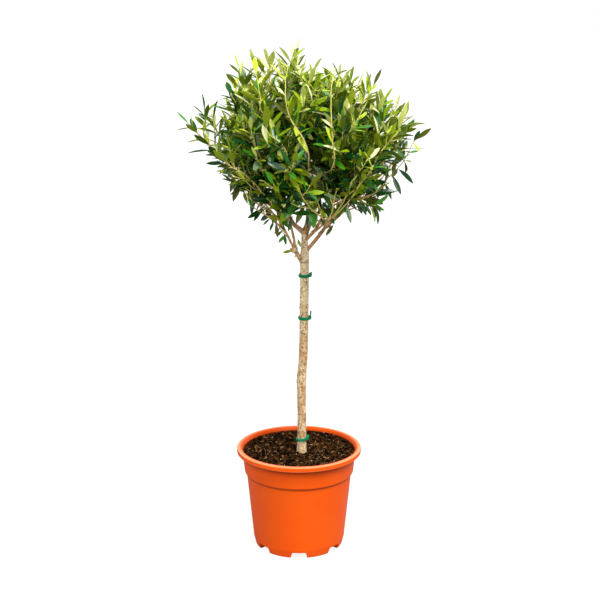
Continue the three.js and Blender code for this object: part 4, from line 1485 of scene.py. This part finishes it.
def twig(line, radius, tip_radius, level, seed):
    """A twig's facts: its line, radii, kind and seed. Past its start the line wanders a little to
    each side by smooth noise."""
    t = np.linspace(0, 1, len(line))
    sway = np.stack([noise(line, WANDER_WIDTH, 31 + k) for k in range(3)], axis=-1)
    line = line + WANDER * sway * smoothstep(t, 0, 0.2)[:, None]
    return {"line": line, "radii": share(radius, tip_radius, t**0.8), "level": level, "seed": seed}


def placed_twigs(routes, count, radius, level, seed):
    """Twigs along routes of their own, each with count places, numbered on from a seed."""
    return [
        twig(curve_through(route, count), radius, TWIG_TIP_RADIUS, level, seed + k)
        for k, route in enumerate(routes)
    ]


def fine_line(bearer, count):
    """count places along a twig, and its length."""
    fine = even_places(bearer["line"], count)
    return fine, np.linalg.norm(np.diff(fine, axis=0), axis=1).sum()


def sprigs_on(bearer, mass):
    """Short sprigs from a twig's outer part: each leaves at about 45 degrees and bends up."""
    draw = np.random.default_rng(1000 + bearer["seed"])
    fine, length = fine_line(bearer, 41)
    count = int(length / (LEAD_SPRIG_SPACING if bearer["level"] == LEAD else SPRIG_SPACING))
    made = []
    turn = draw.random() * 2 * math.pi
    for k in range(count):
        t = share(*SPRIGS_ALONG, (k + draw.random()) / count)
        at = int(t * 40)
        along = tangents(fine)[at]
        aside = unit(np.cross(along, UP))
        turn += SPRIG_TURN
        out = aside * math.cos(turn) + np.cross(along, aside) * math.sin(turn)
        reach = share(*SPRIG_LENGTHS, draw.random()) * share(1, LAST_SPRIG, t)
        way = unit(along + SPRIG_LEAN * out)
        end = fine[at] + way * reach + UP * reach * SPRIG_RISE
        line = bow(fine[at], fine[at] + way * reach * 0.55, end, 7)
        fits = in_space(mass, line[2:], 0) & clear_of_limbs(line[2:], 1) & (over_skirt(line[2:]) > 0)
        there = not in_open(end) or draw.random() < OPEN_SPRIGS_KEPT
        if fits.all() and there and reach_share(end) < 1:
            made.append(twig(line, SPRIG_RADIUS, TWIG_TIP_RADIUS * 0.9, SPRIG, bearer["seed"] * 31 + k))
    return made


def side_twigs(mass, lead, aims):
    """The side twigs whose aims lie in the mass's space, which stay in it, over the skirt and clear
    of limbs and of each other. Few of those in the crown's open parts are there."""
    kept = []
    taken = np.empty((0, 3))
    trials, ways, distances = aims
    mine = in_space(mass, HEART + ways, 0)
    for trial, way, distance in zip(trials[mine], ways[mine], distances[mine]):
        line = side_twig(lead, way, distance)
        if line is None:
            continue
        if in_open(line[-1]) and np.random.default_rng(OPEN_SEED + trial).random() >= OPEN_KEPT:
            continue
        places = even_places(line, 14)[2:]
        fits = in_space(mass, places, TWIG_RADIUS) & clear_of_limbs(places, TWIG_RADIUS)
        if not fits.all() or over_skirt(places[4:]).min() < -TWIG_UNDER_SKIRT:
            continue
        if len(taken) and np.linalg.norm(taken[:, None] - places, axis=-1).min() < TWIG_APART:
            continue
        taken = np.vstack([taken, places])
        kept.append(twig(line, TWIG_RADIUS, TWIG_TIP_RADIUS, SIDE, int(trial) + 2))
    return kept


def twigs_of(mass, aims):
    """A mass's twigs: its leading shoot, side twigs and free shoots, the sprigs of all these, and the
    shoots that bear no sprigs."""
    name = MASS_NAMES[mass]
    lead = lead_line(mass)
    kept = [twig(lead, LIMBS[MASSES[name][0]][2], LEAD_TIP_RADIUS, LEAD, 1 + 7000 * mass)]
    kept += side_twigs(mass, lead, aims)
    kept += placed_twigs(FRONT_SHOOTS.get(name, []), 36, SHOOT_RADIUS, SIDE, 9001 + 17 * mass)
    sprigs = [sprig for bearer in kept for sprig in sprigs_on(bearer, mass)]
    edge = placed_twigs(EDGE_SHOOTS, 14, HANGING_RADIUS, EDGE, 9801)
    mine = [in_space(mass, np.array(route[-1], float), 0) for route in EDGE_SHOOTS]
    sprigs += itertools.compress(edge, mine)
    sprigs += placed_twigs(HANGING_SHOOTS.get(name, []), 24, HANGING_RADIUS, HANGING, 9701 + 7 * mass)
    sprigs += placed_twigs(LOW_SHOOTS.get(name, []), 9, SPRIG_RADIUS, BARE, 9501)
    sprigs += placed_twigs(FORK_TWIGS.get(name, []), 14, TWIG_RADIUS, BARE, 9601)
    return kept + sprigs


def nodes_along(bearer):
    """Where a twig bears leaves: crossed pairs from its tip down, closer to the twig, smaller and
    younger towards the tip, and a last leaf at the tip."""
    draw = np.random.default_rng(bearer["seed"])
    fine, length = fine_line(bearer, 121)
    bare = BARE_SHARE[bearer["level"]]
    spacing = LEAF_SPACING * SPACING_SHARE[bearer["level"]]
    pairs = max(1, round((1 - bare) * length / spacing))
    t = share(bare, 1, (np.arange(pairs) + 0.5 + 0.25 * (draw.random(pairs) - 0.5)) / pairs)
    turn = draw.random() * math.pi + np.arange(pairs) * math.pi / 2 + 0.5 * (draw.random(pairs) - 0.5)
    both = np.repeat(t, 2)
    both_turns = np.stack([turn, turn + math.pi], axis=-1).ravel()
    count = 2 * pairs
    spread = share(*LEAF_LEAN, both) * share(*LEAN_VARIES, draw.random(count))
    size = share(*LEAF_SIZE, both**3) * share(*SIZE_VARIES, draw.random(count))
    size = size * SIZE_SHARE[bearer["level"]]
    at = np.append(both, 1.0)
    places = np.round(at * 120).astype(int)
    return {
        "root": fine[places],
        "along": tangents(fine)[places],
        "radius": np.interp(at, np.linspace(0, 1, len(bearer["radii"])), bearer["radii"]),
        "turn": np.append(both_turns, draw.random() * math.pi),
        "spread": np.append(spread, LAST_LEAF_LEAN),
        "size": np.append(size, LAST_LEAF * 0.9),
        "t": at,
        "draw": draw.random((count + 1, 5)),
    }


def turned_out(along, turn):
    """The direction square to each way along, turned about it from the level one."""
    aside = unit(np.cross(along, UP))
    return aside * np.cos(turn)[:, None] + np.cross(along, aside) * np.sin(turn)[:, None]


def leaf_youth(bearer, found, outer):
    """How young each leaf of a twig is, from 0 to 1, with painted light in it: more towards the crown's top
    and edge, which stand for the light falling there as well as young growth, and the twig's tip, with a
    part that the whole spray has and a part of the leaf's own."""
    height = smoothstep(found["root"][:, 2], *YOUNG_Z)
    spray = np.random.default_rng(99 + bearer["seed"]).random()
    # painted light: leaves higher and further out are dealt paler shades, as if lit from above
    young = 0.12 * smoothstep(outer, 0.4, 1.05) + 0.6 * height + 0.2 * found["t"] ** 3
    young = young + 0.34 * (spray - 0.5) + share(0.8, 1.06, height) * (found["draw"][:, 4] - 0.5)
    young = young + share(0.08, 0.0, height)
    return young + np.where(spray > 0.93, 0.35, 0) * height


def leaves_on(bearer):
    """Each leaf of a twig: where it starts, which way it points and faces, its size and its shade.
    A leaf faces its twig's tip and turns a little up to the light. Old low leaves hang."""
    found = nodes_along(bearer)
    if bearer["level"] == BARE:
        found = {key: value[:0] for key, value in found.items()}
    along, chance = found["along"], found["draw"]
    out = turned_out(along, found["turn"])
    spread = found["spread"][:, None]
    toward = along * np.cos(spread) + out * np.sin(spread)
    low = 1 - smoothstep(found["root"][:, 2], HANG_TO_Z, HANG_FROM_Z)
    hang = low * (1 - 0.6 * found["t"] ** 2) * share(*LOW_HANG, chance[:, 0])
    if bearer["level"] == HANGING:
        hang = share(*OLD_HANG, chance[:, 0])
    toward = unit(toward - UP * hang[:, None])
    loose = share(*LOOSE, np.clip(hang, 0, 1))[:, None] * (chance[:, 1:4] - 0.5)
    facing = np.cross(np.cross(toward, along), toward) + TO_LIGHT * UP + loose
    if bearer["level"] == HANGING:
        facing = facing + OLD_TO_FRONT
    outer = reach_share(found["root"] + toward * LEAF_LENGTH * 0.5)
    young = leaf_youth(bearer, found, outer)
    return {
        "root": found["root"] + out * (found["radius"] * 0.4)[:, None], "toward": toward,
        "facing": squared(facing, toward), "size": found["size"] * LEAF_LENGTH,
        "young": young, "curl": share(*LEAF_CURL, chance[:, 2]), "fold": share(*LEAF_FOLD, chance[:, 3]),
        "slim": share(*LEAF_SLIM, chance[:, 1]), "level": np.full(len(young), bearer["level"]),
        "chance": chance[:, 0], "thin": chance[:, 3] * 0.5 + chance[:, 1] * 0.5,
    }


def over_skirt(places):
    """How far each place is over the crown's skirt: flat near the heart and then a cone round it,
    whose start and slope at the front are drawn to those of the nearer side by cos^2 of the turn."""
    out = places - HEART
    aside = np.linalg.norm(out[..., :2], axis=-1)
    across = out[..., 0] / np.maximum(aside, 1e-9)
    start, slope = (
        share(front, np.where(across > 0, right, left), across**2)
        for front, left, right in (SKIRT_FROM, SKIRT_SLOPE)
    )
    return places[..., 2] - SKIRT_Z - slope * np.maximum(aside - start, 0)


def in_open(places):
    """Whether each place is outside one of the two leaning lines, where the crown is open."""
    x, z = places[..., 0], places[..., 2]
    left = x < np.maximum(OPEN_LEFT_X - OPEN_LEFT_LEAN * (OPEN_LEFT_FROM_Z - z), OPEN_LEFT_LEAST)
    right = (x > OPEN_RIGHT_X) & (z < OPEN_RIGHT_Z + OPEN_RIGHT_SLOPE * (x - OPEN_RIGHT_X))
    return left | right


def fitting(leaves, mass):
    """Which leaves are there: they keep clear of the limbs, stay near their mass's space, in reach,
    over the skirt and off the free shoots, and are thinned out low down, inside and in the open
    parts. Leading and edge shoots' leaves aren't thinned out low down or inside, and may pass the
    reach. Hanging shoots' leaves need only be clear of the limbs."""
    tip = leaves["root"] + leaves["toward"] * leaves["size"][:, None]
    middle = (leaves["root"] + tip) / 2
    clear = clear_of_limbs(middle, 3) & clear_of_limbs(tip, 0.5)
    near = in_space(mass, tip, LEAF_OVER_SPACE) & in_space(mass, middle, LEAF_OVER_SPACE)
    lead = (leaves["level"] == LEAD) | (leaves["level"] == EDGE)
    inside = ((reach_share(tip) < OVER_REACH) | lead) & (over_skirt(tip) > -HANG_UNDER_SKIRT)
    low = 1 - smoothstep(middle[:, 2], LOW_THIN_TO_Z, LOW_THIN_FROM_Z)
    inner = 1 - smoothstep(reach_share(middle), INNER_FROM, INNER_TO)
    there = leaves["thin"] > np.maximum(LOW_THIN * low, INNER_THIN * inner)
    there = (there | lead) & (~in_open(middle) | (leaves["chance"] < OPEN_LEAVES_KEPT))
    there = there | (lead & (middle[:, 0] < 0))
    free = free_of_shoots(leaves["root"], middle) | (leaves["chance"] > 1 - OVER_SHOOTS_KEPT)
    return clear & ((near & inside & there & free) | (leaves["level"] == HANGING))


def free_of_shoots(roots, middles):
    """Whether each leaf is off the shoots that stand free: it grows on one of them, or its middle
    isn't over one of them as seen from the camera, which looks down on them."""
    shoots = [curve_through(route, 80)[24:] for routes in FRONT_SHOOTS.values() for route in routes]
    line = np.vstack(shoots)
    own = np.linalg.norm(roots[:, None] - line, axis=-1).min(axis=1) < OWN_LEAF
    apart = middles[:, None] - line
    aside = np.hypot(apart[..., 0], apart[..., 2] + SEEN_DOWN * apart[..., 1])
    return own | ~np.any((aside < FREE_OF_LEAVES) & (apart[..., 1] < 3), axis=1)


# Along a leaf: where its rings are, and how wide the blade is there
LEAF_RINGS = np.array([0, 0.08, 0.18, 0.32, 0.5, 0.68, 0.83, 0.94, 1.0])
BLADE = np.clip((LEAF_RINGS - 0.05) / 0.95, 0, 1)
LEAF_SPREAD = np.maximum(np.sin(math.pi * BLADE**1.1) ** 0.8, 0.15)
LEAF_SPREAD[-1] = 0.05


def leaf_shell(leaves):
    """All leaves as one shell. A leaf is nine rings of four points: right margin, top of the
    midrib, left margin and foot of the midrib. The margins stand above the midrib by the fold, and
    the whole leaf bends by curl times the square of the way along."""
    size = leaves["size"][:, None]
    x = LEAF_RINGS * size
    wide = LEAF_SPREAD * (LEAF_WIDTH / 2 / LEAF_LENGTH) * size * leaves["slim"][:, None]
    bend = -leaves["curl"][:, None] * LEAF_RINGS**2 * size
    thick = np.maximum(0.5 * LEAF_SPREAD, 0.32) * np.ones_like(size)
    raised = wide * leaves["fold"][:, None]
    across = np.stack([wide, np.zeros_like(wide), -wide, np.zeros_like(wide)], axis=-1)
    above = np.stack([bend + raised, bend + 0.25 * thick, bend + raised, bend - 0.75 * thick], axis=-1)
    up = leaves["facing"]
    side = np.cross(up, leaves["toward"])
    points = (
        leaves["root"][:, None, None]
        + x[..., None, None] * leaves["toward"][:, None, None]
        + across[..., None] * side[:, None, None]
        + above[..., None] * up[:, None, None]
    )
    count, rings = points.shape[:2]
    caps = np.array([[3, 2, 1, 0], [4 * rings - 4, 4 * rings - 3, 4 * rings - 2, 4 * rings - 1]])
    faces = np.vstack([grid_faces(rings, 4), caps])
    return (points.reshape(-1, 3), repeated(faces, count, 4 * rings)), rings


def leaf_slots(young, thin, rings):
    """Each face's colour: the upper faces take their leaf's shade, or in a few old leaves a painted grey
    sheen, and the lower ones the underside that goes with the shade."""
    shade = np.clip(np.floor(young * len(LEAF_TOPS)), 0, len(LEAF_TOPS) - 1).astype(int)
    under = len(LEAF_TOPS) + np.clip(shade * len(LEAF_UNDERS) // len(LEAF_TOPS), 0, len(LEAF_UNDERS) - 1)
    # painted sheen: a few old leaves are painted grey as if they reflected the white air
    bloom = (shade < OLD_SHADES) & ((thin * 97) % 1 < BLOOM_KEPT)
    top = np.where(bloom, len(LEAF_TOPS) + len(LEAF_UNDERS), shade)
    sides = np.tile([True, True, False, False], rings - 1)
    upper = np.append(sides, [False, False])
    return np.where(upper[None], top[:, None], under[:, None]).ravel()


def leaf_creases(count, rings):
    """The margins and the midrib's top are sharp. Gives the points at both ends of each such edge."""
    start = np.arange(rings - 1)[:, None] * 4 + np.array([0, 1, 2])
    start = start.ravel()[None] + (np.arange(count) * rings * 4)[:, None]
    return start.ravel(), start.ravel() + 4


def sharpen(mesh, first, second):
    """Marks the edges between two lists of points as sharp."""
    ends = np.empty(len(mesh.edges) * 2, np.int32)
    mesh.edges.foreach_get("vertices", ends)
    ends = np.sort(ends.reshape(-1, 2), axis=1).astype(np.int64)
    total = len(mesh.vertices)
    wanted = np.minimum(first, second) * total + np.maximum(first, second)
    mesh.edges.foreach_set("use_edge_sharp", np.isin(ends[:, 0] * total + ends[:, 1], wanted))


def twig_shell(one):
    """A twig's tube, a little swollen at each joint along it, and its shade ring by ring: bark near
    its start, and then brown, tan, straw and green as it thins."""
    line, radii = one["line"], one["radii"]
    joints = 1 + 0.12 * (np.arange(len(line)) % 2)
    rings = tube_rings(line, radii * joints, LEAD_SIDES if one["level"] == LEAD else TWIG_SIDES)
    sides = rings.shape[1]
    shade = len(TWIG_SHADES) - 1 - np.digitize(radii[:-1], SHADE_RADII)
    ends = np.repeat([shade[0], shade[-1]], sides)
    return closed_rings(rings), np.concatenate([np.repeat(shade, sides), ends])


def placed_leaves(places, keys):
    """Leaves that hang in places of their own, each from its root to its tip, facing the front and
    up. Gives the same facts as for all leaves, by their keys."""
    ends = np.array(places, float).reshape(-1, 2, 3)
    way = ends[:, 1] - ends[:, 0]
    draw = np.random.default_rng(77).random((len(ends), 3))
    facing = np.array([0.0, -0.8, 0.7]) + 0.5 * (draw - 0.5)
    made = {
        "root": ends[:, 0], "toward": unit(way), "facing": squared(facing, unit(way)),
        "size": np.linalg.norm(way, axis=1), "young": share(0.1, 0.5, draw[:, 0]),
        "curl": share(0.02, 0.14, draw[:, 1]), "fold": share(0.15, 0.4, draw[:, 2]),
        "slim": share(0.95, 1.3, draw[:, 0]), "thin": np.full(len(ends), NO_BLOOM),
    }
    return {key: made.get(key, np.zeros(len(ends))) for key in keys}


def bud_spikes(twigs):
    """Spikes of flower buds: each is a row of four beads of eight faces that leaves its twig at an
    angle, in the axils that a draw picks. Gives one shell, or None where there are none."""
    roots, ways = [], []
    for one in twigs:
        if one["level"] not in (SIDE, SPRIG):
            continue
        found = nodes_along(one)
        kept = (found["draw"][:, 2] < BUDS_KEPT) & (found["root"][:, 2] > BUDS_FROM_Z)
        roots.append(found["root"][kept])
        ways.append(unit(found["along"] + 0.9 * turned_out(found["along"], found["turn"] + 0.7))[kept])
    roots, ways = np.vstack(roots), np.vstack(ways)
    if len(roots) == 0:
        return None
    corners = np.array([(1, 0, 0), (0, 1, 0), (-1, 0, 0), (0, -1, 0), (0, 0, 1), (0, 0, -1)], float)
    upper = [(a, (a + 1) % 4, 4, -1) for a in range(4)]
    lower = [((a + 1) % 4, a, 5, -1) for a in range(4)]
    centres = roots[:, None] + ways[:, None] * BUD_PLACES[:, None]
    points = centres[:, :, None] + corners * BUD_RADII[:, None, None]
    beads = len(roots) * len(BUD_PLACES)
    return points.reshape(-1, 3), repeated(np.array(upper + lower), beads, len(corners))


def make_crown():
    """Twigs and leaves of every mass, each kind joined into one piece for its mass."""
    aims = twig_aims()
    totals = [0, 0]
    for mass, name in enumerate(MASS_NAMES):
        twigs = twigs_of(mass, aims)
        shells, shades = map(list, zip(*(twig_shell(one) for one in twigs)))
        buds = bud_spikes(twigs)
        if buds is not None:
            shells.append(buds)
            shades.append(len(TWIG_SHADES) + (np.arange(len(buds[1])) // FACES_OF_SPIKE) % len(BUD_SHADES))
        slots = np.concatenate(shades)
        wood = piece("twigs_" + name, joined(shells), TWIG_SHADES + BUD_SHADES, slots=slots)
        finished(wood, "bark", "foliage_" + name)
        sets = [leaves_on(one) for one in twigs]
        leaves = {key: np.concatenate([one[key] for one in sets]) for key in sets[0]}
        kept = fitting(leaves, mass)
        more = placed_leaves(PLACED_LEAVES.get(name, []), leaves)
        leaves = {key: np.concatenate([value[kept], more[key]]) for key, value in leaves.items()}
        shell, rings = leaf_shell(leaves)
        slots = leaf_slots(leaves["young"], leaves["thin"], rings)
        blades = piece("leaves_" + name, shell, LEAF_TOPS + LEAF_UNDERS + LEAF_BLOOM, slots=slots)
        sharpen(blades.data, *leaf_creases(len(leaves["young"]), rings))
        finished(blades, "foliage", "foliage_" + name)
        totals[0] += len(twigs)
        totals[1] += len(leaves["young"])
    print("twigs and leaves:", totals)


make_camera()
make_studio()
make_pot()
make_soil()
make_crumbs()
make_wood()
make_ties()
make_crown()
